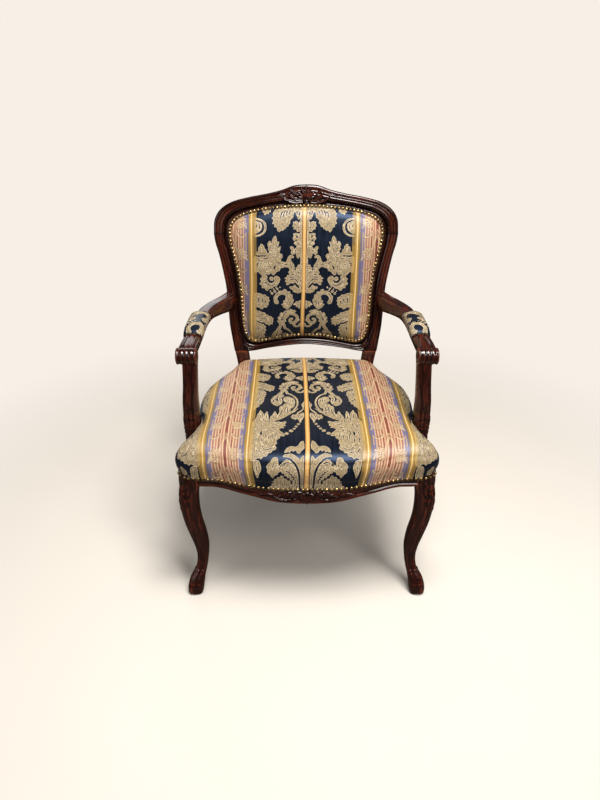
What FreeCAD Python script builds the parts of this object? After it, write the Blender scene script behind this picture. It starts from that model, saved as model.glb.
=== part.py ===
import FreeCAD, Part
import math
import os

# A Louis XV style open armchair: a moulded beech frame stained as mahogany, with a stuffed seat,
# a stuffed back panel and padded arms. Millimetres, X to the sitter's left, Y backwards, Z up.
# Every piece is drawn on a datum where Y = 0 lies in the middle of the seat. The finished chair is
# then moved so that its origin is the middle of its footprint, on the floor.

# How far four points may stand off a plane and still share a face
FLATNESS = 1e-6

# Farther out than any piece reaches, for the boxes that trim them
FAR = 500.0

# Height of the seat's crown, which the back and the arms stand above
SEAT_CROWN = 487.0
BACK_RISE = 13.0
ARM_RISE = 169.0

# Seat frame
RAIL_TOP = 412.0
RAIL_THICK = 34.0
SIDE_RAIL_BOTTOM = 354.0
FRONT_RAIL_DEEP = 337.0
FRONT_RAIL_SHALLOW = 366.0
BLOCK_INNER_X = 272.0
BLOCK_BACK_Y = -214.0
TENON_LONG = 22.0
TENON_THICK = 11.0
TENON_HIGH = 34.0
TENON_CLEARANCE = 0.15
BRACE_WIDE = 30.0
BRACE_HIGH = 40.0
BRACE_LONG = 240.0
BRACE_DROP = 6.0
BRACE_PLACES = ((225.0, -178.0, 45.0), (158.0, 215.0, -45.0))
LEG_TENON_RISE = 4.0
SIDE_TENON_DROP = 2.0
HEAD_OVERLAP = 6.0

# Back frame, measured up the raked plane of its front face
RAKE = 9.9
BACK_FOOT_Y = 248.5
BACK_FOOT_Z = SEAT_CROWN + BACK_RISE
FRAME_THICK = 30.0
REBATE_WIDE = 12.0
REBATE_DEEP = 6.0
REAR_REBATE_DEEP = 5.0
CREST_JOINT = 352.0
DOWEL_RADIUS = 5.0
DOWEL_LONG = 50.0
DOWEL_CLEARANCE = 0.15

# Rear post where the seat rails meet it
POST_WIDE = 40.0
POST_DEEP = 44.0
POST_OUTER_X = 211.0
POST_FRONT_Y = 243.0
POST_NECK = (455.0, 3.0, 19.0, 40.0, 37.0)
ARM_DOWEL_SHIFT = (10.0, -21.0)
ARM_DOWEL_HEADING = (-15, 32, -1)
SUPPORT_DOWEL = (290.0, -103.0, 12.0)
RAIL_DOWEL_X = 284.0

# Upholstery
WEB_WIDE = 50.0
WEB_THICK = 1.5
WEB_PLAY = 0.05
WEB_SLOPE = 8.0
WEB_MARGIN = 5.0
SEAT_WEBS_LONG = (-135.0, -45.0, 45.0, 135.0)
SEAT_WEBS_CROSS = (-160.0, -75.0, 10.0, 95.0)
BACK_WEBS_LONG = (-100.0, 0.0, 100.0)
BACK_WEBS_CROSS = (130.0, 240.0, 350.0)
HESSIAN_THICK = 1.0
SEAT_HESSIAN_SHARE = 0.975
BACK_HESSIAN_SHARE = 0.985
COVER_EDGE = 1.3
SKIN_GAP = 0.3
POST_GAP = 0.6
SUPPORT_GAP = 2.0
SEAT_ROLL = 7.0
SEAT_TILT = 0.01
BACK_CROWN = 28.0
PAD_SIDE = 4.0
PAD_RISE = 17.0
NAIL_RADIUS = 4.8
NAIL_HIGH = 2.6
NAIL_GAP = 0.2
NAIL_PITCH = 11.0
NAIL_LINE_FRONT = 381.0
NAIL_LINE_SIDE = 388.0
DIP_WIDE = 380.0
DUST_COVER_THICK = 1.0
DUST_COVER_SHARE = 0.94
DUST_COVER_GAP = 6.0

# Right half of the seat frame's outer edge in plan, from the front's middle round to the back's
SEAT_EDGE = [
    (0, -300), (85, -301), (160, -289), (213, -273), (262, -266), (300, -261), (318, -244),
    (317, -218), (304, -186), (290, -145), (286, -85), (290, -25), (292, 35), (282, 88),
    (258, 140), (230, 192), (214, 235), (200, 258), (160, 266), (90, 275), (0, 279),
]
SEAT_MIDDLE = (0.0, -15.0)

# Right half of the fabric's edge on the back panel, from the bottom's middle to the top's
PANEL_EDGE = [
    (0, 47), (64, 43), (120, 32), (155, 27), (178, 36), (190, 62), (196, 110), (199, 175),
    (205, 232), (217, 288), (227, 335), (226, 372), (211, 396), (176, 414), (120, 426), (0, 435),
]
PANEL_MIDDLE = (0.0, 240.0)

# Moulded pieces of the back frame: outer edge, fabric edge, width of the rebate inside it
STILE_STATIONS = [
    (221, 0, 179, 0, 1), (228, 42, 183, 42, 1), (233, 75, 192, 75, REBATE_WIDE),
    (236, 120, 196, 120, REBATE_WIDE), (240, 190, 200, 190, REBATE_WIDE),
    (246, 232, 205, 232, REBATE_WIDE), (257, 288, 217, 288, REBATE_WIDE),
    (267, 325, 225, 325, REBATE_WIDE), (271, CREST_JOINT, 228, CREST_JOINT, REBATE_WIDE),
]
CREST_STATIONS = [
    (271, CREST_JOINT, 228, CREST_JOINT), (267, 392, 224, 377), (249, 421, 210, 397),
    (215, 442, 190, 409), (165, 455, 156, 418), (115, 464, 110, 427), (72, 474, 70, 431),
    (36, 486, 35, 434), (0, 489, 0, 435),
]
LOWER_RAIL_STATIONS = [
    (0, 20, 0, 47, REBATE_WIDE), (64, 15, 64, 43, REBATE_WIDE), (120, 7, 120, 32, REBATE_WIDE),
    (155, 0, 155, 27, REBATE_WIDE), (178, -3, 178, 36, 2), (190, -4, 190, 62, 1),
]

# Legs, arms and arm supports: centre of each section, its width and its depth or height
FRONT_LEG = [
    (0, 304, -257, 32, 32), (8, 304, -257, 38, 38), (26, 302, -254, 41, 41), (45, 298, -246, 38, 38),
    (62, 291, -237, 32, 32), (80, 285, -230, 28, 28), (105, 282, -225, 29, 29), (142, 282, -225, 35, 35),
    (189, 288, -230, 41, 41), (232, 295, -236, 43, 43), (273, 299, -240, 45, 45),
    (312, 300, -241, 48, 48), (356, 298, -239, 49, 49),
]
REAR_LEG = [
    (0, 208, 340, 34, 34), (10, 208, 340, 38, 38), (40, 207, 335, 34, 36),
    (90, 204, 322, 29, 31), (150, 199, 304, 31, 34), (215, 194, 286, 35, 40),
    (285, 191, 272, 39, 44),
]
ARM_TOP = SEAT_CROWN + ARM_RISE
ARM = [
    (228, 290, ARM_TOP - 6, 40, 56), (243, 258, ARM_TOP - 5, 42, 50), (264, 215, ARM_TOP - 2, 43, 43),
    (284, 165, ARM_TOP, 43, 36), (292, 110, ARM_TOP, 42, 31), (294, 55, ARM_TOP, 42, 30),
    (294, 0, ARM_TOP + 1, 43, 30), (296, -50, ARM_TOP + 1, 46, 32), (298, -98, ARM_TOP - 5, 47, 33),
]
ARM_NOSE_MIDDLE = (299.0, -110.0, ARM_TOP - 13)
ARM_NOSE_RADIUS = 20.0
ARM_NOSE_WIDE = 49.0

# Arm support: centre, share of the height from the rails to the arm, width and depth
ARM_SUPPORT = [
    (300, -100, -0.14, 47, 50), (300, -100, 0.057, 47, 50), (301, -103, 0.254, 45, 45),
    (300, -107, 0.474, 42, 40), (296, -109, 0.693, 39, 38), (292, -104, 1.0, 39, 38),
]
SUPPORT_TOP = ARM_TOP - 16
PAD_FRONT_Y = -28.0
PAD_BACK_Y = 122.0


def resampled(stations, between):
    """The stations with more laid smoothly between each pair."""
    rows = []
    last = len(stations) - 1
    for i in range(last):
        before, here = stations[max(i - 1, 0)], stations[i]
        after, beyond = stations[i + 1], stations[min(i + 2, last)]
        for k in range(between + 1):
            t = k / (between + 1)
            rows.append(tuple(
                b + 0.5 * t * (c - a + t * (2 * a - 5 * b + 4 * c - d + t * (3 * b - a - 3 * c + d)))
                for a, b, c, d in zip(before, here, after, beyond)
            ))
    return rows + [tuple(stations[-1])]


def closed_wire(points):
    """A closed wire of straight edges."""
    return Part.makePolygon(points + points[:1])


def flat_faces(points):
    """One flat face through four points, or two where they don't lie in a plane."""
    a, b, c, d = points
    normal = (c - a).cross(d - b)
    if abs(normal.dot(b - a)) < FLATNESS * normal.Length:
        return [Part.Face(closed_wire(points))]
    if (c - a).Length < (d - b).Length:
        return [Part.Face(closed_wire([a, b, c])), Part.Face(closed_wire([a, c, d]))]
    return [Part.Face(closed_wire([a, b, d])), Part.Face(closed_wire([b, c, d]))]


def loft(rings):
    """A solid with flat faces between neighbouring sections, each a ring of as many points."""
    faces = [Part.Face(closed_wire(rings[0])), Part.Face(closed_wire(rings[-1]))]
    for ring, after in zip(rings, rings[1:]):
        for k in range(len(ring)):
            faces += flat_faces([ring[k - 1], ring[k], after[k], after[k - 1]])
    solid = Part.Solid(Part.Shell(faces))
    if solid.Volume < 0:
        solid.reverse()
    return solid


def unit(x, y):
    """The direction of a plane vector."""
    size = math.hypot(x, y)
    return (x / size, y / size)


def turning_point(start, heading, end, ahead):
    """Where two tangent arcs meet between two points, and the heading there."""
    step = (end[0] - start[0], end[1] - start[1])
    spread = 2 * (1 - heading[0] * ahead[0] - heading[1] * ahead[1])
    reach = step[0] * (heading[0] + ahead[0]) + step[1] * (heading[1] + ahead[1])
    square = step[0] ** 2 + step[1] ** 2
    if spread < 1e-9:
        arm = square / (2 * reach)
    else:
        arm = (math.sqrt(reach ** 2 + spread * square) - reach) / spread
    knee = (
        0.5 * (start[0] + end[0] + arm * (heading[0] - ahead[0])),
        0.5 * (start[1] + end[1] + arm * (heading[1] - ahead[1])),
    )
    chord = unit(knee[0] - start[0], knee[1] - start[1])
    along = heading[0] * chord[0] + heading[1] * chord[1]
    return knee, (2 * along * chord[0] - heading[0], 2 * along * chord[1] - heading[1])


def smooth_chain(points, closed=True):
    """A smooth line through points, anticlockwise: each point and the turning point after it, with normals."""
    count = len(points)
    headings = []
    for i, here in enumerate(points):
        before = points[i - 1] if closed or i > 0 else points[i]
        after = points[(i + 1) % count] if closed or i < count - 1 else points[i]
        back = math.hypot(here[0] - before[0], here[1] - before[1]) or 1.0
        ahead = math.hypot(after[0] - here[0], after[1] - here[1]) or 1.0
        headings.append(unit(
            (here[0] - before[0]) * ahead / back + (after[0] - here[0]) * back / ahead,
            (here[1] - before[1]) * ahead / back + (after[1] - here[1]) * back / ahead,
        ))
    chain = []
    for i in range(count if closed else count - 1):
        after = (i + 1) % count
        knee, turned = turning_point(points[i], headings[i], points[after], headings[after])
        chain.append((points[i], (headings[i][1], -headings[i][0])))
        chain.append((knee, (turned[1], -turned[0])))
    if not closed:
        chain.append((points[-1], (headings[-1][1], -headings[-1][0])))
    return chain


def whole(half):
    """A closed outline from its right half, whose first and last points lie on the middle line."""
    return half + [(-x, y) for x, y in reversed(half[1:-1])]


def chain_ring(chain, lift, grow=0.0, share=1.0, middle=(0.0, 0.0)):
    """The points of a chain, grown along its normals, scaled about a middle and lifted into space."""
    return [
        lift(
            middle[0] + share * (p[0] + grow * n[0] - middle[0]),
            middle[1] + share * (p[1] + grow * n[1] - middle[1]),
        )
        for p, n in chain
    ]


def level(z, tilt=0.0):
    """Lifts plan points to a height, with a fall towards the front."""
    return lambda x, y: FreeCAD.Vector(x, y, z + tilt * y)


def upright(n):
    """Lifts back-frame points to a depth behind the front face, before the rake."""
    return lambda x, h: FreeCAD.Vector(x, n, h)


def slab(pieces, low, high, grow=0.0):
    """A plate between two heights with the outline's shape in plan."""
    face = Part.Face(closed_wire(chain_ring(pieces, level(low), grow)))
    return face.extrude(FreeCAD.Vector(0, 0, high - low))


def panel_slab(pieces, front, back, grow=0.0):
    """A plate between two depths with the outline's shape on the back frame."""
    face = Part.Face(closed_wire(chain_ring(pieces, upright(front), grow)))
    return face.extrude(FreeCAD.Vector(0, back - front, 0))


def sheet(points, low, high, share, middle):
    """A flat sheet with straight sides, cut from a plan's corner points scaled about its middle."""
    spots = [
        FreeCAD.Vector(middle[0] + share * (x - middle[0]), middle[1] + share * (y - middle[1]), low)
        for x, y in points
    ]
    return Part.Face(closed_wire(spots)).extrude(FreeCAD.Vector(0, 0, high - low))


def block(low, high):
    """A box between two corners."""
    size = [high[i] - low[i] for i in range(3)]
    return Part.makeBox(*size, FreeCAD.Vector(*low))


def mirrored(shape):
    """The same piece on the other side of the chair."""
    return shape.mirror(FreeCAD.Vector(0, 0, 0), FreeCAD.Vector(1, 0, 0))


def both(shape):
    """A right half joined to its mirror image as one solid."""
    return shape.fuse(mirrored(shape)).removeSplitter()


def raked(shape):
    """A piece drawn upright, leant back to the rake of the back frame."""
    turned = shape.copy()
    turned.rotate(FreeCAD.Vector(0, 0, 0), FreeCAD.Vector(1, 0, 0), -RAKE)
    turned.translate(FreeCAD.Vector(0, BACK_FOOT_Y, BACK_FOOT_Z))
    return turned


def rounded_ring(origin, side, up, width, height, radius):
    """A rectangle with its corners rounded in two steps, about origin in the plane of side and up."""
    points = []
    turn = radius * (1 - math.sqrt(0.5))
    for sx, sy in ((1, -1), (1, 1), (-1, 1), (-1, -1)):
        corner = [(radius, 0), (turn, turn), (0, radius)]
        if sx != sy:
            corner.reverse()
        for inward_u, inward_v in corner[::-1]:
            u = sx * (width / 2 - inward_u)
            v = sy * (height / 2 - inward_v)
            points.append(origin + side * u + up * v)
    return points


X_AXIS = FreeCAD.Vector(1, 0, 0)
Y_AXIS = FreeCAD.Vector(0, 1, 0)
Z_AXIS = FreeCAD.Vector(0, 0, 1)


def leg_ring(station, share=0.27):
    """One level section of a leg."""
    z, x, y, wide, deep = station
    return rounded_ring(FreeCAD.Vector(x, y, z), X_AXIS, Y_AXIS, wide, deep, share * min(wide, deep))


def moulded_ring(station):
    """The back frame's section between its outer edge and the fabric's edge, with both rebates."""
    outer, edge, rebate = station[:2], station[2:4], station[4]
    along = unit(edge[0] - outer[0], edge[1] - outer[1])
    wide = math.hypot(edge[0] - outer[0], edge[1] - outer[1])
    rear = FRAME_THICK

    def spot(q, n):
        return FreeCAD.Vector(outer[0] + along[0] * q, n, outer[1] + along[1] * q)

    bead = 0.2 * wide
    groove = 0.26 * wide
    band = 0.32 * wide
    cove = 0.6 * wide
    lip = 0.9 * wide
    return [
        spot(0, rear), spot(0, 10.0), spot(0.28 * bead, 3.6), spot(bead, 1.5), spot(groove, 4.2),
        spot(band, 1.0), spot(cove, 0.0), spot(0.5 * (cove + lip), 3.6), spot(lip, 4.6), spot(wide, 3.0),
        spot(wide, REBATE_DEEP), spot(wide + rebate, REBATE_DEEP),
        spot(wide + rebate, rear - REAR_REBATE_DEEP), spot(wide, rear - REAR_REBATE_DEEP),
        spot(wide, rear),
    ]


def path_frames(stations):
    """Origin, side and up of each section along a bent member."""
    spots = [FreeCAD.Vector(*s[:3]) for s in stations]
    frames = []
    for i, here in enumerate(spots):
        ahead = spots[min(i + 1, len(spots) - 1)] - spots[max(i - 1, 0)]
        ahead.normalize()
        side = ahead.cross(Z_AXIS) if abs(ahead.z) < 0.9 else Y_AXIS.cross(ahead)
        side.normalize()
        frames.append((here, side, side.cross(ahead)))
    return frames


def member(stations, share=0.3):
    """A bent member lofted through rounded sections."""
    stations = resampled(stations, 1)
    rings = []
    for (origin, side, up), (_, _, _, wide, high) in zip(path_frames(stations), stations):
        rings.append(rounded_ring(origin, side, up, wide, high, share * min(wide, high)))
    return loft(rings)


def make_moulded(stations):
    """A moulded piece of the back frame, drawn upright."""
    return loft([moulded_ring(s) for s in resampled(stations, 1)])


def make_stile():
    """The right stile of the back frame."""
    return raked(make_moulded(STILE_STATIONS))


def make_rear_leg():
    """The right rear leg and the block that takes the seat rails, up to the foot of the stile."""
    middle_x = POST_OUTER_X - POST_WIDE / 2
    middle_y = POST_FRONT_Y + POST_DEEP / 2
    stations = REAR_LEG + [
        (SIDE_RAIL_BOTTOM - HEAD_OVERLAP, middle_x, middle_y, POST_WIDE, POST_DEEP),
        (RAIL_TOP, middle_x, middle_y, POST_WIDE, POST_DEEP),
        (POST_NECK[0], middle_x + POST_NECK[1], POST_FRONT_Y + POST_NECK[2], *POST_NECK[3:]),
    ]
    rings = [leg_ring(s, 0.2) for s in stations]
    outer, edge = STILE_STATIONS[0][:2], STILE_STATIONS[0][2:4]
    lean = math.radians(RAKE)
    back = FreeCAD.Vector(0, math.cos(lean), -math.sin(lean))
    foot = FreeCAD.Vector((outer[0] + edge[0]) / 2, BACK_FOOT_Y, BACK_FOOT_Z) + back * (FRAME_THICK / 2)
    rings.append(rounded_ring(foot, X_AXIS, back, outer[0] - edge[0], FRAME_THICK, 6.0))
    return loft(rings)


def make_crest():
    """The crest rail from one stile to the other."""
    return raked(both(make_moulded([s + (REBATE_WIDE,) for s in CREST_STATIONS])))


def make_lower_rail():
    """The lower rail of the back frame, cut to the stiles by its caller."""
    return raked(both(make_moulded(LOWER_RAIL_STATIONS)))


def make_front_leg(seat):
    """The right front leg with the block that takes the seat rails."""
    foot = FRONT_LEG[-1][0] - HEAD_OVERLAP
    corner = block((BLOCK_INNER_X, -FAR, foot), (FAR, BLOCK_BACK_Y, RAIL_TOP))
    head = slab(seat, foot, RAIL_TOP).common(corner)
    return loft([leg_ring(s) for s in FRONT_LEG]).fuse(head)


def rail_ring(seat):
    """The band between the seat frame's outer edge and the rails' inner faces."""
    outer = Part.Face(closed_wire(chain_ring(seat, level(FRONT_RAIL_DEEP))))
    inner = Part.Face(outer.OuterWire.makeOffset2D(-RAIL_THICK, 2))
    lift = FreeCAD.Vector(0, 0, RAIL_TOP - FRONT_RAIL_DEEP)
    return outer.extrude(lift).cut(inner.extrude(lift)), inner


def front_apron():
    """The front rail's face seen from the front, drawn back to the side rails."""
    low = [(BLOCK_INNER_X, FRONT_RAIL_SHALLOW - 3), (230, FRONT_RAIL_SHALLOW), (150, FRONT_RAIL_SHALLOW - 7),
           (88, FRONT_RAIL_DEEP + 9), (40, FRONT_RAIL_DEEP + 2), (0, FRONT_RAIL_DEEP)]
    line = low + [(-x, z) for x, z in reversed(low[:-1])]
    lower = chain_ring(smooth_chain(line, closed=False), lambda x, z: FreeCAD.Vector(x, -FAR, z))
    top = [FreeCAD.Vector(x, -FAR, RAIL_TOP) for x in (-BLOCK_INNER_X, BLOCK_INNER_X)]
    return Part.Face(closed_wire(lower + top)).extrude(FreeCAD.Vector(0, FAR + BLOCK_BACK_Y, 0))


def tenon(at, along, grow=0.0):
    """A tenon centred on a shoulder plane, as a box, to be joined to the rail and cut from the post."""
    half = [TENON_THICK / 2 + grow, TENON_THICK / 2 + grow, TENON_HIGH / 2 + grow]
    half[along] = TENON_LONG + grow
    return block([at[i] - half[i] for i in range(3)], [at[i] + half[i] for i in range(3)])


def dowel(middle, heading, grow=0.0):
    """A dowel about its middle, or with a clearance the hole for it."""
    long = DOWEL_LONG + 2 * grow
    axis = FreeCAD.Vector(*heading)
    axis.normalize()
    side = axis.cross(X_AXIS)
    side.normalize()
    up = axis.cross(side)
    start = FreeCAD.Vector(*middle) - axis * (long / 2)
    rim = []
    for k in range(8):
        turn = math.radians(45 * k)
        rim.append(start + (side * math.cos(turn) + up * math.sin(turn)) * (DOWEL_RADIUS + grow))
    return Part.Face(closed_wire(rim)).extrude(axis * long)


def weave(ups, acrosses, low_up, high_up, low_across, high_across):
    """Two sets of webs woven through each other, lying on z = 0: those along y and those along x."""
    def strip(own, others, low, high, first_over, along_y):
        under, over = 0.0, WEB_THICK + WEB_PLAY
        line = [(low, under)]
        for k, other in enumerate(others):
            z = over if (k + first_over) % 2 == 0 else under
            reach = WEB_WIDE / 2 + 2
            run = [(other - reach - WEB_SLOPE, under), (other - reach, z)]
            run += [(other + reach, z), (other + reach + WEB_SLOPE, under)]
            line += run if z > under else []
        line.append((high, under))
        upper = [(a, z + WEB_THICK) for a, z in reversed(line)]
        start = own - WEB_WIDE / 2
        if along_y:
            points = [FreeCAD.Vector(start, a, z) for a, z in line + upper]
            push = FreeCAD.Vector(WEB_WIDE, 0, 0)
        else:
            points = [FreeCAD.Vector(a, start, z) for a, z in line + upper]
            push = FreeCAD.Vector(0, WEB_WIDE, 0)
        return Part.Face(closed_wire(points)).extrude(push)

    long = [strip(x, acrosses, low_up, high_up, i, True) for i, x in enumerate(ups)]
    cross = [strip(y, ups, low_across, high_across, i + 1, False) for i, y in enumerate(acrosses)]
    return long, cross


def trimmed(strips, region):
    """Webs cut to the edge of what they are tacked to."""
    return Part.makeCompound([s.common(region) for s in strips])


def frustum(corners, levels, lift):
    """A stuffing with flat sides: the corner points scaled by each level's share and lifted."""
    rings = []
    for depth, share, middle in levels:
        points = [
            lift(depth)(middle[0] + share * (x - middle[0]), middle[1] + share * (y - middle[1]))
            for x, y in corners
        ]
        rings.append(points)
    return loft(rings)


def nail(point, outwards, across):
    """A nail head as a six-sided point on its seat."""
    up = outwards.cross(across)
    rim = []
    for k in range(6):
        turn = math.radians(60 * k)
        rim.append(point + across * (NAIL_RADIUS * math.cos(turn)) + up * (NAIL_RADIUS * math.sin(turn)))
    tip = point + outwards * NAIL_HIGH
    faces = [Part.Face(closed_wire(rim[::-1]))]
    for a, b in zip(rim, rim[1:] + rim[:1]):
        faces.append(Part.Face(closed_wire([a, b, tip])))
    return Part.Solid(Part.Shell(faces))


def spaced(chain, grow, pitch):
    """Points and normals at an even pitch round a closed chain."""
    walk = [(p[0] + grow * n[0], p[1] + grow * n[1], n) for p, n in chain]
    steps = [math.dist(a[:2], b[:2]) for a, b in zip(walk, walk[1:] + walk[:1])]
    count = round(sum(steps) / pitch)
    gap = sum(steps) / count
    spots, travelled = [], 0.0
    for here, after, step in zip(walk, walk[1:] + walk[:1], steps):
        heading = unit(after[0] - here[0], after[1] - here[1])
        while travelled + step >= gap * (len(spots) + 0.5) and len(spots) < count:
            s = (gap * (len(spots) + 0.5) - travelled) / step
            x = here[0] + s * (after[0] - here[0])
            y = here[1] + s * (after[1] - here[1])
            spots.append((x, y, (heading[1], -heading[0])))
        travelled += step
    return spots


def nail_height(x, y):
    """Height of the seat's row of nails: it dips at the middle of the front."""
    if y > BLOCK_BACK_Y:
        return NAIL_LINE_SIDE
    dip = 0.5 + 0.5 * math.cos(math.pi * min(2 * abs(x) / DIP_WIDE, 1.0))
    return NAIL_LINE_SIDE - (NAIL_LINE_SIDE - NAIL_LINE_FRONT) * dip


def make_seat_cover(seat, stuffing, cutters):
    """The seat's cover with its wadding: a crowned form with drawn-in sides, hollow over the stuffing."""
    hem = NAIL_LINE_SIDE - NAIL_RADIUS
    deep = NAIL_LINE_FRONT - NAIL_RADIUS
    high = SEAT_CROWN - deep
    edge = COVER_EDGE + SKIN_GAP
    sections = [
        (0, edge, 1.0, 0.0), (0.2, edge + 0.3, 1.0, 0.0), (0.314, SEAT_ROLL - 1.5, 1.0, 0.1),
        (0.458, SEAT_ROLL, 1.0, 0.4), (0.594, SEAT_ROLL - 3, 1.0, 0.7), (0.72, -4, 1.0, 1.0),
        (0.829, -8, 0.965, 1.0), (0.91, -10, 0.88, 1.0), (0.96, -10, 0.72, 1.0),
        (0.986, -10, 0.5, 1.0), (0.996, -10, 0.3, 1.0), (1, -10, 0.12, 1.0),
    ]
    rings = [
        chain_ring(seat, level(deep + rise * high, SEAT_TILT * lean), grow, share, SEAT_MIDDLE)
        for rise, grow, share, lean in sections
    ]
    form = loft(rings)
    under = slab(seat, deep - 1, stuffing.BoundBox.ZMin, SKIN_GAP)
    line_x = [FAR] + [DIP_WIDE * k / 8 for k in (4, 3, 2, 1, 0)]
    line = [(x, nail_height(x, -FAR) - NAIL_RADIUS) for x in line_x]
    line += [(-x, z) for x, z in reversed(line[:-1])]
    below = chain_ring(smooth_chain(line, closed=False), lambda x, z: FreeCAD.Vector(x, -FAR, z))
    skirt = Part.Face(closed_wire(below + [FreeCAD.Vector(x, -FAR, 0) for x in (-FAR, FAR)]))
    front = skirt.extrude(FreeCAD.Vector(0, FAR + BLOCK_BACK_Y, 0))
    rear = block((-FAR, BLOCK_BACK_Y, 0), (FAR, FAR, hem))
    shape = form.cut(under).cut(stuffing).cut(front).cut(rear)
    for cutter in cutters:
        shape = shape.cut(cutter)
    return shape


def make_back_cover(panel, flange_front, stuffing):
    """The back panel's cover with its wadding: a flat nailed margin and a crowned middle."""
    margin = panel_slab(panel, flange_front, flange_front + COVER_EDGE)
    sections = [
        (flange_front + 0.6, 0.95), (flange_front - 7, 0.915), (flange_front - 0.55 * BACK_CROWN, 0.83),
        (flange_front - 0.82 * BACK_CROWN, 0.65), (flange_front - 0.96 * BACK_CROWN, 0.4),
        (flange_front - BACK_CROWN, 0.12),
    ]
    rings = [chain_ring(panel, upright(n), 0.0, share, PANEL_MIDDLE) for n, share in sections]
    return raked(margin.fuse(loft(rings)).cut(stuffing))


def pad_form(extra):
    """The outer form of an arm pad, swollen round the arm, with extra all round for its cover."""
    line = resampled(ARM, 3)
    frames = path_frames(line)
    rings = []
    for share, swell in ((0, 0.25), (0.04, 0.7), (0.16, 1), (0.5, 1.05), (0.84, 1), (0.96, 0.7), (1, 0.25)):
        y = PAD_FRONT_Y - extra + share * (PAD_BACK_Y - PAD_FRONT_Y + 2 * extra)
        i = next(k for k in range(len(line) - 1) if line[k + 1][1] <= y)
        t = (line[i][1] - y) / (line[i][1] - line[i + 1][1])
        origin, side, up = [a * (1 - t) + b * t for a, b in zip(frames[i], frames[i + 1])]
        side.normalize()
        up.normalize()
        wide = line[i][3] + 2 * (PAD_SIDE * swell + extra)
        top = line[i][4] / 2 + PAD_RISE * swell + extra
        low = -0.15 * line[i][4]
        rings.append(rounded_ring(
            origin + up * ((top + low) / 2), side, up, wide, top - low, 0.38 * (top - low)))
    return loft(rings)


def braces(inner, blocks):
    """The corner braces glued across the four inside corners of the seat frame."""
    high = RAIL_TOP - BRACE_DROP
    low = high - BRACE_HIGH
    inside = inner.extrude(FreeCAD.Vector(0, 0, RAIL_TOP - FRONT_RAIL_DEEP))
    shapes = []
    for x, y, angle in BRACE_PLACES:
        strip = block((-BRACE_LONG / 2, -BRACE_WIDE / 2, low), (BRACE_LONG / 2, BRACE_WIDE / 2, high))
        strip.rotate(FreeCAD.Vector(0, 0, 0), Z_AXIS, angle)
        strip.translate(FreeCAD.Vector(x, y, 0))
        keep = block((0, -FAR, low), (FAR, FAR, high))
        shape = strip.common(inside).common(keep)
        for solid in blocks:
            shape = shape.cut(solid)
        shapes.append(max(shape.Solids, key=lambda s: s.Volume))
    return Part.makeCompound(shapes + [mirrored(s) for s in shapes])


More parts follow.
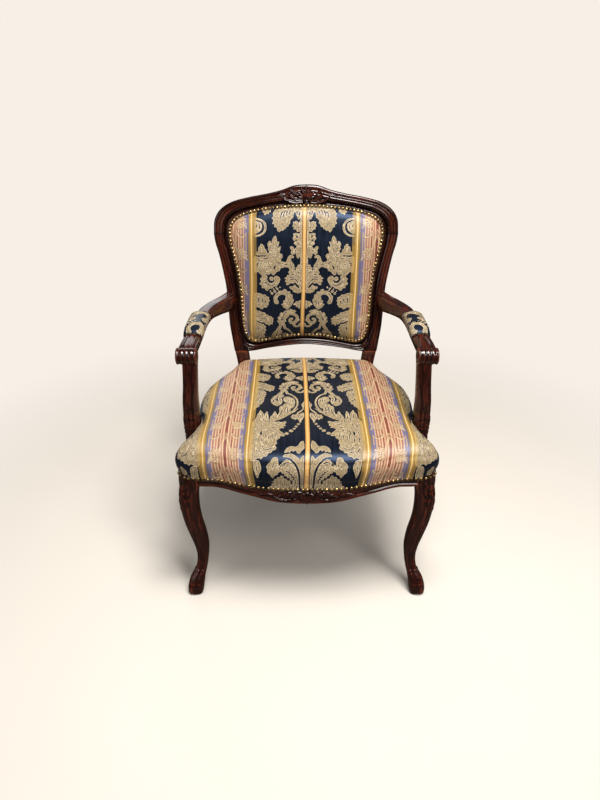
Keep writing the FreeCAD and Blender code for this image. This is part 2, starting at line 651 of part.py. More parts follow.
def main():
    os.makedirs("parts", exist_ok=True)
    seat = smooth_chain(whole(SEAT_EDGE))
    panel = smooth_chain(whole(PANEL_EDGE))
    parts = {}

    # Joints of the back frame
    lean = math.radians(RAKE)
    up_back = (0, math.sin(lean), math.cos(lean))
    crest_dowels = []
    outer, edge = STILE_STATIONS[-1][:2], STILE_STATIONS[-1][2:4]
    for share in (0.3, 0.75):
        x = outer[0] + share * (edge[0] - outer[0])
        middle = (
            x,
            BACK_FOOT_Y + CREST_JOINT * up_back[1] + math.cos(lean) * FRAME_THICK * 0.55,
            BACK_FOOT_Z + CREST_JOINT * up_back[2] - math.sin(lean) * FRAME_THICK * 0.55,
        )
        crest_dowels.append((middle, up_back))

    # Seat frame
    ring, inner = rail_ring(seat)
    front = ring.common(front_apron())
    post_inner = POST_OUTER_X - POST_WIDE
    side_box = block((post_inner, BLOCK_BACK_Y, SIDE_RAIL_BOTTOM), (FAR, POST_FRONT_Y, RAIL_TOP))
    side_rail = ring.common(side_box)
    rear_rail = ring.common(block((-post_inner, 150, SIDE_RAIL_BOTTOM), (post_inner, FAR, RAIL_TOP)))
    tenon_z = (RAIL_TOP + SIDE_RAIL_BOTTOM) / 2
    front_y = ring_middle(ring, x=BLOCK_INNER_X, forward=True)
    side_front_x = ring_middle(ring, y=BLOCK_BACK_Y)
    side_rear_x = ring_middle(ring, y=POST_FRONT_Y)
    rear_y = ring_middle(ring, x=post_inner, forward=False)
    front_tenon = ((BLOCK_INNER_X, front_y, tenon_z + LEG_TENON_RISE), 0)
    side_tenon = ((side_front_x, BLOCK_BACK_Y, tenon_z - SIDE_TENON_DROP), 1)
    side_rear_tenon = ((side_rear_x, POST_FRONT_Y, tenon_z), 1)
    rear_tenon = ((post_inner, rear_y, tenon_z), 0)
    front_rail = front.fuse(tenon(*front_tenon)).fuse(mirrored(tenon(*front_tenon)))
    parts["front_rail"] = front_rail
    rail = side_rail.fuse(tenon(*side_tenon)).fuse(tenon(*side_rear_tenon))
    parts["rear_rail"] = rear_rail.fuse(tenon(*rear_tenon)).fuse(mirrored(tenon(*rear_tenon)))

    # Arms and their supports
    support_high = SUPPORT_TOP - RAIL_TOP
    support = member([(x, y, RAIL_TOP + t * support_high, w, d) for x, y, t, w, d in ARM_SUPPORT])
    arm = member(ARM)
    nose = Part.makeCylinder(
        ARM_NOSE_RADIUS, ARM_NOSE_WIDE,
        FreeCAD.Vector(*ARM_NOSE_MIDDLE) - X_AXIS * (ARM_NOSE_WIDE / 2), X_AXIS)
    arm = arm.fuse(nose)

    # Posts
    post = make_rear_leg().fuse(make_stile())
    for item in crest_dowels:
        post = post.cut(dowel(*item, DOWEL_CLEARANCE))
    post = post.cut(tenon(*side_rear_tenon, TENON_CLEARANCE)).cut(tenon(*rear_tenon, TENON_CLEARANCE))
    arm = arm.cut(post)
    arm = max(arm.Solids, key=lambda s: s.Volume)
    root = ARM[0]
    arm_dowel = ((root[0] + ARM_DOWEL_SHIFT[0], root[1] + ARM_DOWEL_SHIFT[1], root[2]), ARM_DOWEL_HEADING)
    post = post.cut(dowel(*arm_dowel, DOWEL_CLEARANCE))
    arm = arm.cut(dowel(*arm_dowel, DOWEL_CLEARANCE))
    leg = make_front_leg(seat)
    leg = leg.cut(tenon(*front_tenon, TENON_CLEARANCE)).cut(tenon(*side_tenon, TENON_CLEARANCE))
    support = support.cut(slab(seat, SIDE_RAIL_BOTTOM, RAIL_TOP)).cut(arm)
    support = max(support.Solids, key=lambda s: s.Volume)
    arm_top = ((*SUPPORT_DOWEL[:2], SUPPORT_TOP - SUPPORT_DOWEL[2]), (0, 0, 1))
    arm = arm.cut(support)
    rail_dowel = ((RAIL_DOWEL_X, ARM_SUPPORT[0][1], RAIL_TOP), (0, 0, 1))
    support = support.cut(dowel(*rail_dowel, DOWEL_CLEARANCE)).cut(dowel(*arm_top, DOWEL_CLEARANCE))
    arm = arm.cut(dowel(*arm_top, DOWEL_CLEARANCE))
    rail = rail.cut(dowel(*rail_dowel, DOWEL_CLEARANCE))
    dowels = [dowel(*d) for d in crest_dowels + [arm_dowel, arm_top, rail_dowel]]
    parts["frame_dowels"] = Part.makeCompound(dowels + [mirrored(d) for d in dowels])

    crest = make_crest()
    for item in crest_dowels:
        hole = dowel(*item, DOWEL_CLEARANCE)
        crest = crest.cut(hole).cut(mirrored(hole))
    parts["crest_rail"] = crest
    lower_rail = make_lower_rail().cut(post).cut(mirrored(post))
    parts["back_lower_rail"] = max(lower_rail.Solids, key=lambda s: s.Volume)

    for name, shape in (("front_leg", leg), ("rear_post", post), ("side_rail", rail),
                        ("arm", arm), ("arm_support", support)):
        parts[name + "_right"] = shape
        parts[name + "_left"] = mirrored(shape)
    parts["corner_braces"] = braces(inner, [leg, post])

    # Seat upholstery, from the webs up
    long, cross = weave(SEAT_WEBS_LONG, SEAT_WEBS_CROSS, -FAR, FAR, -FAR, FAR)
    post_gap = block((post_inner - POST_GAP, POST_FRONT_Y - POST_GAP, 0), (FAR, FAR, FAR))
    x, y, _, wide, deep = ARM_SUPPORT[1]
    near, reach = x - wide / 2 - SUPPORT_GAP, deep / 2 + SUPPORT_GAP
    support_gap = block((near, y - reach, 0), (FAR, y + reach, FAR))
    gaps = [post_gap, mirrored(post_gap), support_gap, mirrored(support_gap)]
    on_rails = slab(seat, -1, 10, -WEB_MARGIN)
    lift = FreeCAD.Vector(0, 0, RAIL_TOP)
    for name, strips in (("seat_webbing_long", long), ("seat_webbing_cross", cross)):
        webs = trimmed(strips, on_rails)
        webs.translate(lift)
        parts[name] = webs
    hessian_z = RAIL_TOP + 2 * WEB_THICK + WEB_PLAY
    hessian = sheet(whole(SEAT_EDGE), hessian_z, hessian_z + HESSIAN_THICK, SEAT_HESSIAN_SHARE, SEAT_MIDDLE)
    stuffing_z = hessian_z + HESSIAN_THICK
    stuffed = SEAT_CROWN - stuffing_z
    stuffing = frustum(
        whole(SEAT_EDGE),
        [(stuffing_z, 0.93, SEAT_MIDDLE), (stuffing_z + 0.42 * stuffed, 0.93, SEAT_MIDDLE),
         (stuffing_z + 0.75 * stuffed, 0.8, SEAT_MIDDLE)],
        level)
    cover = make_seat_cover(seat, stuffing, gaps)
    for gap in gaps:
        hessian = hessian.cut(gap)
        stuffing = stuffing.cut(gap)
    parts["seat_hessian"] = hessian
    parts["seat_stuffing"] = stuffing
    parts["seat_cover"] = cover
    parts["dust_cover"] = dust_cover(seat)

    # Seat nails along the hem
    heads = []
    for x, y, n in spaced(seat, COVER_EDGE + SKIN_GAP + NAIL_GAP, NAIL_PITCH):
        behind_post = abs(x) > post_inner - 8 and y > POST_FRONT_Y - 12
        beside_support = abs(x) > BLOCK_INNER_X - 20 and abs(y - ARM_SUPPORT[1][1]) < reach + NAIL_RADIUS + 2
        if behind_post or beside_support:
            continue
        spot = FreeCAD.Vector(x, y, nail_height(x, y))
        heads.append(nail(spot, FreeCAD.Vector(n[0], n[1], 0), FreeCAD.Vector(0, 0, 1)))
    parts["seat_nails"] = Part.makeCompound(heads)

    # Back upholstery, from the webs forward
    webs_up, webs_across = weave(BACK_WEBS_LONG, BACK_WEBS_CROSS, -FAR, FAR, -FAR, FAR)
    in_rebate = slab(panel, -1, 10, -1)
    for name, strips in (("back_webbing_long", webs_up), ("back_webbing_cross", webs_across)):
        webs = trimmed(strips, in_rebate)
        webs.rotate(FreeCAD.Vector(0, 0, 0), X_AXIS, 90)
        webs.translate(FreeCAD.Vector(0, REBATE_DEEP, 0))
        parts[name] = raked(webs)
    hessian_n = REBATE_DEEP - 2 * WEB_THICK - WEB_PLAY
    back_hessian = sheet(
        whole(PANEL_EDGE), -hessian_n, HESSIAN_THICK - hessian_n, BACK_HESSIAN_SHARE, PANEL_MIDDLE)
    back_hessian.rotate(FreeCAD.Vector(0, 0, 0), X_AXIS, 90)
    parts["back_hessian"] = raked(back_hessian)
    flange_front = hessian_n - HESSIAN_THICK - COVER_EDGE
    stuffing_n = hessian_n - HESSIAN_THICK
    back_stuffing = frustum(
        whole(PANEL_EDGE),
        [(stuffing_n, 0.86, PANEL_MIDDLE), (flange_front - 5, 0.84, PANEL_MIDDLE),
         (flange_front - 0.6 * BACK_CROWN, 0.6, PANEL_MIDDLE)],
        upright)
    parts["back_cover"] = make_back_cover(panel, flange_front, back_stuffing)
    parts["back_stuffing"] = raked(back_stuffing)
    heads = []
    for x, h, n in spaced(panel, -NAIL_RADIUS, NAIL_PITCH):
        spot = FreeCAD.Vector(x, flange_front - NAIL_GAP / 4, h)
        heads.append(nail(spot, FreeCAD.Vector(0, -1, 0), FreeCAD.Vector(1, 0, 0)))
    parts["back_nails"] = raked(Part.makeCompound(heads))
    floor_n = FRAME_THICK - REAR_REBATE_DEEP
    rear_panel = panel_slab(panel, floor_n, floor_n + COVER_EDGE, -0.5)
    rear_crown = loft([
        chain_ring(panel, upright(floor_n + rise), 0, share, PANEL_MIDDLE)
        for rise, share in ((0.6, 0.94), (3.2, 0.88), (4.4, 0.5))
    ])
    parts["outside_back_cover"] = raked(rear_panel.fuse(rear_crown))

    # Arm pads
    pad = pad_form(0.0)
    skin = pad_form(1.3)
    parts["arm_pad_right"] = pad.cut(arm)
    parts["arm_cover_right"] = skin.cut(pad).cut(arm)
    for name in ("arm_pad", "arm_cover"):
        parts[name + "_left"] = mirrored(parts[name + "_right"])

    extremes = Part.makeCompound([parts["seat_cover"], parts["crest_rail"], parts["rear_post_right"]])
    box = extremes.optimalBoundingBox(True, False)
    shift = FreeCAD.Vector(0, -(box.YMin + box.YMax) / 2, 0)
    for name, shape in parts.items():
        shape.translate(shift)
        shape.exportStep("parts/" + name + ".step")
        print(name, len(shape.Solids), round(shape.Volume), shape.isValid())
    print("origin moved by", round(shift.y, 2))


def ring_middle(ring, x=None, y=None, forward=True):
    """The middle of a rail's thickness where the ring crosses a plane, on the right side."""
    z = RAIL_TOP - 1
    if x is not None:
        span = (-FAR, BLOCK_BACK_Y) if forward else (POST_FRONT_Y - RAIL_THICK, FAR)
        line = Part.LineSegment(FreeCAD.Vector(x, span[0], z), FreeCAD.Vector(x, span[1], z)).toShape()
        box = ring.common(line).BoundBox
        return (box.YMin + box.YMax) / 2
    post_inner = POST_OUTER_X - POST_WIDE
    line = Part.LineSegment(FreeCAD.Vector(post_inner, y, z), FreeCAD.Vector(FAR, y, z)).toShape()
    box = ring.common(line).BoundBox
    return (box.XMin + box.XMax) / 2


def dust_cover(seat):
    """The cloth under the seat, cut round the legs."""
    cloth = sheet(
        whole(SEAT_EDGE), SIDE_RAIL_BOTTOM - DUST_COVER_THICK, SIDE_RAIL_BOTTOM, DUST_COVER_SHARE, SEAT_MIDDLE)
    gap = DUST_COVER_GAP
    back = SEAT_EDGE[0][1] + RAIL_THICK + WEB_THICK
    cloth = cloth.common(block((-FAR, back, 0), (FAR, FAR, FAR)))
    for corner in (
        block((BLOCK_INNER_X - gap, -FAR, 0), (FAR, BLOCK_BACK_Y + gap, FAR)),
        block((POST_OUTER_X - POST_WIDE - gap, POST_FRONT_Y - gap, 0), (FAR, FAR, FAR)),
    ):
        cloth = cloth.cut(corner).cut(mirrored(corner))
    return cloth


main()
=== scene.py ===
import bpy
import math
import numpy as np
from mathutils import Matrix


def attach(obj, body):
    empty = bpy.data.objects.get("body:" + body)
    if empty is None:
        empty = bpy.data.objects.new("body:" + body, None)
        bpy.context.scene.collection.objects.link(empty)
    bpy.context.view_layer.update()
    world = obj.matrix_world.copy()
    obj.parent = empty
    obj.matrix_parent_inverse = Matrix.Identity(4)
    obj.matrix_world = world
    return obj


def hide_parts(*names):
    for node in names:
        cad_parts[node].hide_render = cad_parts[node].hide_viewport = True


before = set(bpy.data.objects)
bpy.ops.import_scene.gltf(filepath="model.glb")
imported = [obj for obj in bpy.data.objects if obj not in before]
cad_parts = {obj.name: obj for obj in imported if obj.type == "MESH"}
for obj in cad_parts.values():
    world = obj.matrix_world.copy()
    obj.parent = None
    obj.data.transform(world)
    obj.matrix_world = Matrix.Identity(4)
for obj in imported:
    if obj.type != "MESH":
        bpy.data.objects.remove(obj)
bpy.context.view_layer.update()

SHIFT_Y = -26.9
RAKE = math.radians(9.9)
BACK_FOOT = (248.5, 500.0)
RAIL_TOP = 412.0
SEAT_CROWN = 487.0
BACK_CROWN = 28.0
FLANGE = 0.65
NAIL_RADIUS = 4.8


def rows(text, each):
    """Rows of numbers written out as text."""
    return np.array(text.replace(",", " ").split(), float).reshape(-1, each)


# Right halves of the seat's plan and of the back panel's edge
SEAT_EDGE = rows("""0 -300,85 -301,160 -289,213 -273,262 -266,300 -261,318 -244,317 -218,304 -186,290 -145,286 -85,
    290 -25,292 35,282 88,258 140,230 192,214 235,200 258,160 266,90 275,0 279""", 2)
PANEL_EDGE = rows("""0 47,64 43,120 32,155 27,178 36,190 62,196 110,199 175,205 232,217 288,227 335,226 372,211 396,
    176 414,120 426,0 435""", 2)
SEAT_MIDDLE = np.array((0.0, -15.0))
PANEL_MIDDLE = np.array((0.0, 240.0))
# Mouldings of the back: outer edge, inner edge; the lower rail's rows end with the rebate's width
STILE = rows("""221 0 179 0,228 42 183 42,233 75 192 75,236 120 196 120,240 190 200 190,246 232 205 232,
    257 288 217 288,267 325 225 325,271 352 228 352""", 4)
CREST = rows("""271 352 228 352,267 392 224 377,249 421 210 397,215 442 190 409,165 455 156 418,115 464 110 427,
    72 474 70 431,36 486 35 434,0 489 0 435""", 4)
LOWER_RAIL = rows("0 20 0 47 12,64 15 64 43 12,120 7 120 32 12,155 0 155 27 12,178 -3 178 36 2,190 -4 190 62 1", 5)
# Members: centre, width and depth or height
FRONT_LEG = rows("""304 -257 0 28 28,304 -257 2.5 35 35,304 -257 9 39.5 39.5,302 -254 26 41 41,298 -246 45 38 38,
    291 -237 62 32 32,285 -230 80 28 28,282 -225 105 29 29,282 -225 142 35 35,288 -230 189 41 41,295 -236 232 43 43,
    299 -240 273 45 45,300 -241 312 48 48,298 -239 356 49 49,298 -239 408 49 49""", 5)
REAR_LEG = rows("""208 340 0 34 34,208 340 10 38 38,207 335 40 34 36,204 322 90 29 31,199 304 150 31 34,
    194 286 215 35 40,191 272 285 39 44,191 265 348 40 44,191 265 412 40 44,194 262 455 40 37,
    200 263.3 497.4 42 30""", 5)
ARM = rows("""228 290 650 40 56,243 258 651 42 50,264 215 654 43 43,284 165 656 43 36,292 110 656 42 31,
    294 55 656 42 30,294 0 657 43 30,296 -50 657 46 31,298 -92 653 47 31""", 5)
ARM_END = rows("298 -88 655 47 31,299 -108 651 47 28", 5)
ARM_SUPPORT = rows("""300 -100 380 47 50,300 -100 396 47 50,300 -100 425 46 49,301 -103 470 44 45,
    300 -107 520 41 40,296 -109 570 38 38,292 -104 644 38 38""", 5)


def spline(points, steps, closed=False):
    """A smooth line through points; steps tells how many parts each stretch has."""
    p = np.array(points, float)
    ends = (p[-1:], p[:2]) if closed else (2 * p[:1] - p[1:2], 2 * p[-1:] - p[-2:-1])
    p = np.vstack([ends[0], p, ends[1]])
    parts = []
    for a, b, c, d in zip(p, p[1:], p[2:], p[3:]):
        t = np.linspace(0, 1, steps(b, c), endpoint=False)[:, None]
        parts.append(b + 0.5 * t * (c - a + t * (2 * a - 5 * b + 4 * c - d + t * (3 * b - a - 3 * c + d))))
    return np.vstack(parts if closed else parts + [p[-2:-1]])


def catmull(stations, between):
    """Stations joined by a smooth line, with more laid between each pair."""
    return spline(stations, lambda b, c: between + 1)


def along(points):
    """Distance walked along a line of points."""
    return np.concatenate([[0], np.cumsum(np.linalg.norm(np.diff(points, axis=0), axis=1))])


def unit(vectors):
    """The same directions, one long."""
    return vectors / np.linalg.norm(vectors, axis=-1, keepdims=True)


def ease(t):
    """0 to 1 with a soft start and end."""
    t = np.clip(t, 0, 1)
    return t * t * (3 - 2 * t)


def outline(half, count):
    """A smooth closed outline from its right half, evenly sampled, with outward normals."""
    pts = np.vstack([half, half[-2:0:-1] * (-1, 1)])
    parts = []
    for i in range(len(pts)):
        a, b, c, d = pts[i - 1], pts[i], pts[(i + 1) % len(pts)], pts[(i + 2) % len(pts)]
        k0, k1, k2, k3 = np.cumsum([0] + [np.linalg.norm(q - p) ** 0.5 for p, q in ((a, b), (b, c), (c, d))])
        t = np.linspace(k1, k2, 24, endpoint=False)[:, None]

        def share(p, q, low, high):
            return (high - t) / (high - low) * p + (t - low) / (high - low) * q

        a1, a2, a3 = share(a, b, k0, k1), share(b, c, k1, k2), share(c, d, k2, k3)
        parts.append(share(share(a1, a2, k0, k2), share(a2, a3, k1, k3), k1, k2))
    line = np.vstack(parts + [parts[0][:1]])
    walked = along(line)
    s = np.linspace(0, walked[-1], count, endpoint=False)
    ring = np.stack([np.interp(s, walked, line[:, k]) for k in (0, 1)], 1)
    heading = unit(np.roll(ring, -1, 0) - np.roll(ring, 1, 0))
    return ring, np.stack([heading[:, 1], -heading[:, 0]], 1)


def raked(x, n, h):
    """Back-frame places, across, behind the front face and up the rake, as points."""
    x, n, h = np.broadcast_arrays(x, n, h)
    y = BACK_FOOT[0] + n * math.cos(RAKE) + h * math.sin(RAKE)
    z = BACK_FOOT[1] + h * math.cos(RAKE) - n * math.sin(RAKE)
    return np.stack([x, y, z], -1)


def to_frame(points):
    """Datum millimetres to metres in the shared frame."""
    return (points + (0, SHIFT_Y, 0)) * 0.001


def placed(name, data):
    """A new object in the scene."""
    item = bpy.data.objects.new(name, data)
    bpy.context.scene.collection.objects.link(item)
    return item


class Form:
    """Meshes gathered into one piece, with values on their points."""

    def __init__(self):
        self.points, self.faces, self.values, self.count = [], [], {"grain": [], "stain": []}, 0

    def add(self, points, faces, **values):
        self.points.append(points)
        self.faces += [[i + self.count for i in f] for f in faces]
        self.count += len(points)
        for name, value in {"grain": points, "stain": np.zeros(len(points)), **values}.items():
            self.values.setdefault(name, []).append(value)

    def rings(self, rings, closed=True, caps=True, **values):
        """A skin over sections with as many points each."""
        rings = np.asarray(rings, float)
        many, count = rings.shape[:2]
        i = np.arange(many - 1)[:, None] * count
        j = np.arange(count if closed else count - 1)[None, :]
        k = (j + 1) % count
        quads = np.stack([i + j, i + k, i + k + count, i + j + count], -1).reshape(-1, 4)
        flat = {name: np.asarray(v, float).reshape(many * count, -1).squeeze() for name, v in values.items()}
        self.add(rings.reshape(-1, 3), quads.tolist(), **flat)
        for row, order in ((0, -1), (-1, 1)) if caps else ():
            ends = {name: v.reshape(many, count, -1)[row].squeeze() for name, v in flat.items()}
            self.add(rings[row], [list(range(count))[::order]], **ends)

    def mirrored(self):
        """The same form on the other side of the chair."""
        twin = Form()
        twin.points = [p * (-1, 1, 1) for p in self.points]
        twin.faces = [f[::-1] for f in self.faces]
        twin.values, twin.count = self.values, self.count
        return twin

    def piece(self, name, kind, node):
        """The form as an object of the chair, of one kind of stuff."""
        material, slot = kind
        mesh = bpy.data.meshes.new(name)
        mesh.from_pydata(to_frame(np.vstack(self.points)).tolist(), [], self.faces)
        mesh.validate()
        for key, parts in self.values.items():
            if parts[0].ndim > 1:
                data = mesh.attributes.new(key, "FLOAT_VECTOR", "POINT").data
                data.foreach_set("vector", np.vstack(parts).astype(np.float32).ravel())
            else:
                data = mesh.attributes.new(key, "FLOAT", "POINT").data
                data.foreach_set("value", np.concatenate(parts).astype(np.float32))
        mesh.polygons.foreach_set("use_smooth", [True] * len(mesh.polygons))
        mesh.materials.append(material)
        piece = placed(name, mesh)
        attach(piece, "root")
        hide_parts(node)
        return piece

    def pair(self, kind, node):
        """The form as the right-hand piece and its mirror image as the left-hand one."""
        for form, side in ((self, "_right"), (self.mirrored(), "_left")):
            form.piece(kind[1] + "_" + node + side, kind, node + side)


def section(count, power=3.6):
    """A rounded rectangle of unit half sizes."""
    turn = np.linspace(0, 2 * math.pi, count, endpoint=False)
    c, s = np.cos(turn), np.sin(turn)
    return np.stack([np.sign(c) * np.abs(c) ** (2 / power), np.sign(s) * np.abs(s) ** (2 / power)], 1)


def relief(form, place, line, wide, high, lobes=0, skirt=1.0, facing=(0, -1, 0)):
    """A carved leaf or ridge laid on a surface along a line in the surface's own two measures."""
    path = catmull(line, max(2, 26 // (len(line) - 1)))
    a, b = path.T
    p = place(a, b)
    ahead = unit(np.gradient(p, axis=0))
    out = unit(np.cross(place(a + 0.5, b) - place(a - 0.5, b), place(a, b + 0.5) - place(a, b - 0.5)))
    out[out @ np.array(facing, float) < 0] *= -1
    side = np.cross(out, ahead)
    s = along(p) / along(p)[-1]
    swell = np.sin(math.pi * (0.06 + 0.94 * s) ** 0.8) ** 0.6
    width = wide * swell * (1 + 0.17 * np.sin(2 * math.pi * (lobes + 0.25) * s)) + 0.3
    rise = high * (0.45 + 0.55 * np.sin(math.pi * s) ** 0.5) * (0.85 + 0.3 * s)
    t = np.linspace(-1, 1, 11)
    dome = np.sqrt(1 - t * t) * (1 - (0.5 if lobes else 0.0) * np.exp(-(t / 0.2) ** 2))
    t, lift = np.concatenate([[-1], t, [1]]), np.concatenate([[-1], dome, [-1]])
    lift = np.where(lift < 0, -skirt, rise[:, None] * lift)
    form.rings(p[:, None] + side[:, None] * (width[:, None] * t)[..., None] + out[:, None] * lift[..., None],
               closed=False, caps=False)


def reliefs(form, place, text, ways=(-1, 1), **more):
    """Leaves carved on both sides of a middle: half width, height, lobes and skirt, then its line's
    points as the middle, the distance from it and the second measure."""
    for way in ways:
        for leaf in text.split("/"):
            size, line = leaf.split(":")
            middle, off, level = rows(line, 3).T
            relief(form, place, np.column_stack([middle + way * off, level]), *rows(size, 4)[0], **more)


def ring_surface(rings):
    """Places on a member from its sections: degrees round it and height."""
    level = rings[:, :, 2].mean(1)
    order = np.argsort(level)
    rings, level = rings[order], level[order]

    def place(turn, height):
        turn, height = np.broadcast_arrays(turn, height)
        i = np.clip(np.searchsorted(level, height) - 1, 0, len(level) - 2)
        f = np.clip((height - level[i]) / (level[i + 1] - level[i]), 0, 1)[..., None]
        many = rings.shape[1]
        q = (turn % 360) / 360 * many
        j = q.astype(int) % many
        g = (q % 1)[..., None]
        k = (j + 1) % many
        low, high = (rings[m, j] * (1 - g) + rings[m, k] * g for m in (i, i + 1))
        return low * (1 - f) + high * f

    return place


def swept(stations, between, shape, upright=False):
    """Sections along a bent member; its shape is a function of the way gone."""
    line = catmull(stations, between)
    spots = line[:, :3]
    ahead = unit(np.gradient(spots, axis=0))
    if upright:
        side = np.cross((0, 1, 0), ahead)
    else:
        side = np.cross(ahead, (0, 0, 1))
        side[np.abs(side[:, 0]) < 0.2] = (-1, 0, 0)
        side = np.where(side[:, :1] > 0, -side, side)
    side = unit(side)
    up = np.cross(side, ahead)
    s = along(spots)
    rings, grain = [], []
    for i in range(len(line)):
        u, v = (shape(s[i] / s[-1]) * line[i, 3:] / 2).T
        rings.append(spots[i] + np.outer(u, side[i]) + np.outer(v, up[i]))
        grain.append(np.stack([np.full(len(u), s[i]), u, v], 1))
    return np.array(rings), np.array(grain)


def rgb(text):
    """A linear colour from its screen value."""
    parts = [int(text[i:i + 2], 16) / 255 for i in (0, 2, 4)]
    return tuple(c / 12.92 if c <= 0.04045 else ((c + 0.055) / 1.055) ** 2.4 for c in parts) + (1.0,)


# Materials
class Nodes:
    """A material's or the world's nodes, made one after the other. Colours are written as screen values."""

    def __init__(self, name, store=bpy.data.materials):
        self.owner = store.new(name)
        self.owner.use_nodes = True
        self.nodes, self.links = self.owner.node_tree.nodes, self.owner.node_tree.links

    def put(self, value, socket):
        if isinstance(value, bpy.types.NodeSocket):
            self.links.new(value, socket)
        else:
            socket.default_value = rgb(value) if isinstance(value, str) else value

    def new(self, kind, inputs=(), out=0, **settings):
        node = self.nodes.new("ShaderNode" + kind)
        for key, value in settings.items():
            setattr(node, key, value)
        for key, value in dict(inputs).items():
            self.put(value, node.inputs[key])
        return node.outputs[out]

    def math(self, operation, *values, clamp=False):
        return self.new("Math", enumerate(values), operation=operation, use_clamp=clamp)

    def add(self, a, b):
        return self.math("ADD", a, b)

    def sub(self, a, b, clamp=False):
        return self.math("SUBTRACT", a, b, clamp=clamp)

    def mul(self, a, b):
        return self.math("MULTIPLY", a, b)

    def off(self, value, middle=0.5):
        """How far a value is from a middle one, either way."""
        return self.math("ABSOLUTE", self.sub(value, middle))

    def value(self, name, out="Fac"):
        return self.new("Attribute", out=out, attribute_name=name)

    def scaled(self, vector, by):
        return self.new("VectorMath", {0: vector, 1: by}, operation="MULTIPLY")

    def noise(self, vector, by, scale, detail, rough=0.5):
        inputs = {"Vector": self.scaled(vector, by), "Scale": scale, "Detail": detail, "Roughness": rough}
        return self.new("TexNoise", inputs)

    def between(self, value, low, high, to_low=0.0, to_high=1.0):
        return self.new("MapRange", enumerate((value, low, high, to_low, to_high)), interpolation_type="SMOOTHSTEP")

    def mix(self, share, a, b):
        return self.new("Mix", {0: share, 6: a, 7: b}, out=2, data_type="RGBA")

    def ramp(self, value, stops, kind="LINEAR"):
        """A colour ramp; each stop is a place and a colour."""
        node = self.new("ValToRGB", {0: value}).node
        node.color_ramp.interpolation = kind
        elements = node.color_ramp.elements
        for k, stop in enumerate([stops[0], stops[-1], *stops[1:-1]]):
            spot = elements[k] if k < 2 else elements.new(stop[0])
            spot.position, spot.color = stop[0], rgb(stop[1])
        return node.outputs[0]

    def bump(self, height, strength, distance):
        return self.new("Bump", {"Height": height, "Strength": strength, "Distance": distance})

    def finish(self, **sockets):
        for key, value in sockets.items():
            self.put(value, self.nodes["Principled BSDF"].inputs[key.replace("_", " ")])
        return self.owner


def wood(name, dark, mid, light, gloss):
    """Stained and polished hardwood: long grain and pores, painted shade in hollows and from the darkening values,
    painted highlights on ridges and carvings.
    """
    n = Nodes(name)
    grain = n.value("grain", "Vector")
    long = n.noise(grain, (0.0016, 0.016, 0.016), 9.0, 5.0, 0.6)
    figure = n.noise(grain, (0.004, 0.02, 0.02), 3.0, 2.0)
    pores = n.noise(grain, (0.05, 1.1, 1.1), 4.0, 2.0)
    shade = n.ramp(n.add(n.mul(long, 0.75), n.mul(figure, 0.3)), [(0.34, dark), (0.52, mid), (0.72, light)])
    hollow = n.new("NewGeometry", out="Pointiness")
    # Painted shade: hollows (low pointiness) darkened towards near black
    shade = n.mix(n.between(hollow, 0.42, 0.495, 0.9, 0.0), shade, "080302")
    # Painted highlight: ridges and carved edges (high pointiness) lightened towards red-brown
    shade = n.mix(n.between(hollow, 0.505, 0.565, 0.0, 0.6), shade, "7d3b1e")
    shade = n.mix(n.between(pores, 0.30, 0.42, 0.55, 0.0), shade, dark)
    # Painted shade where the darkening values are high: the mouldings' inner coves and rebates; the arm noses are
    # darker overall
    shade = n.mix(n.mul(n.value("stain"), 0.85), shade, "050202")
    return n.finish(Base_Color=shade, Roughness=n.between(figure, 0.3, 0.7, gloss, gloss + 0.1),
                    Normal=n.bump(n.add(n.mul(pores, 0.4), long), 0.1, 0.0006),
                    Coat_Weight=0.2, Coat_Roughness=0.06, Specular_IOR_Level=0.42)


# The rose band's thin lines from its edge to its middle, and the gold bands from the cloth's middle out
ROSE = "6e5d2b 524d6b 967d5d 645b7b a4876d 7e5042 ab8e6e 8b5e4e ae906d 753d34 a78467 8e604e b29270 6e352b"
GOLD = """0 d8b87c 0.007 d8ae6c 0.015 c8934e 0.029 8a6230 0.664 8a6230 0.668 75622c 0.705 94702e 0.7215 b48e46
    0.7255 f6e4b4 0.7325 c09e58 0.74 94702e 1 9a732c""".split()
HALF_WIDTH = 0.202
STRIPE_TO, GOLD_FROM, ROSE_FROM = 0.0056, 0.1335, 0.1525
OLIVE_FROM, OLIVE_TO = (0.1335, 0.134), (0.1405, 0.1412)
LILAC_FROM, LILAC_TO = (0.1535, 0.1545), (0.1635, 0.1655)


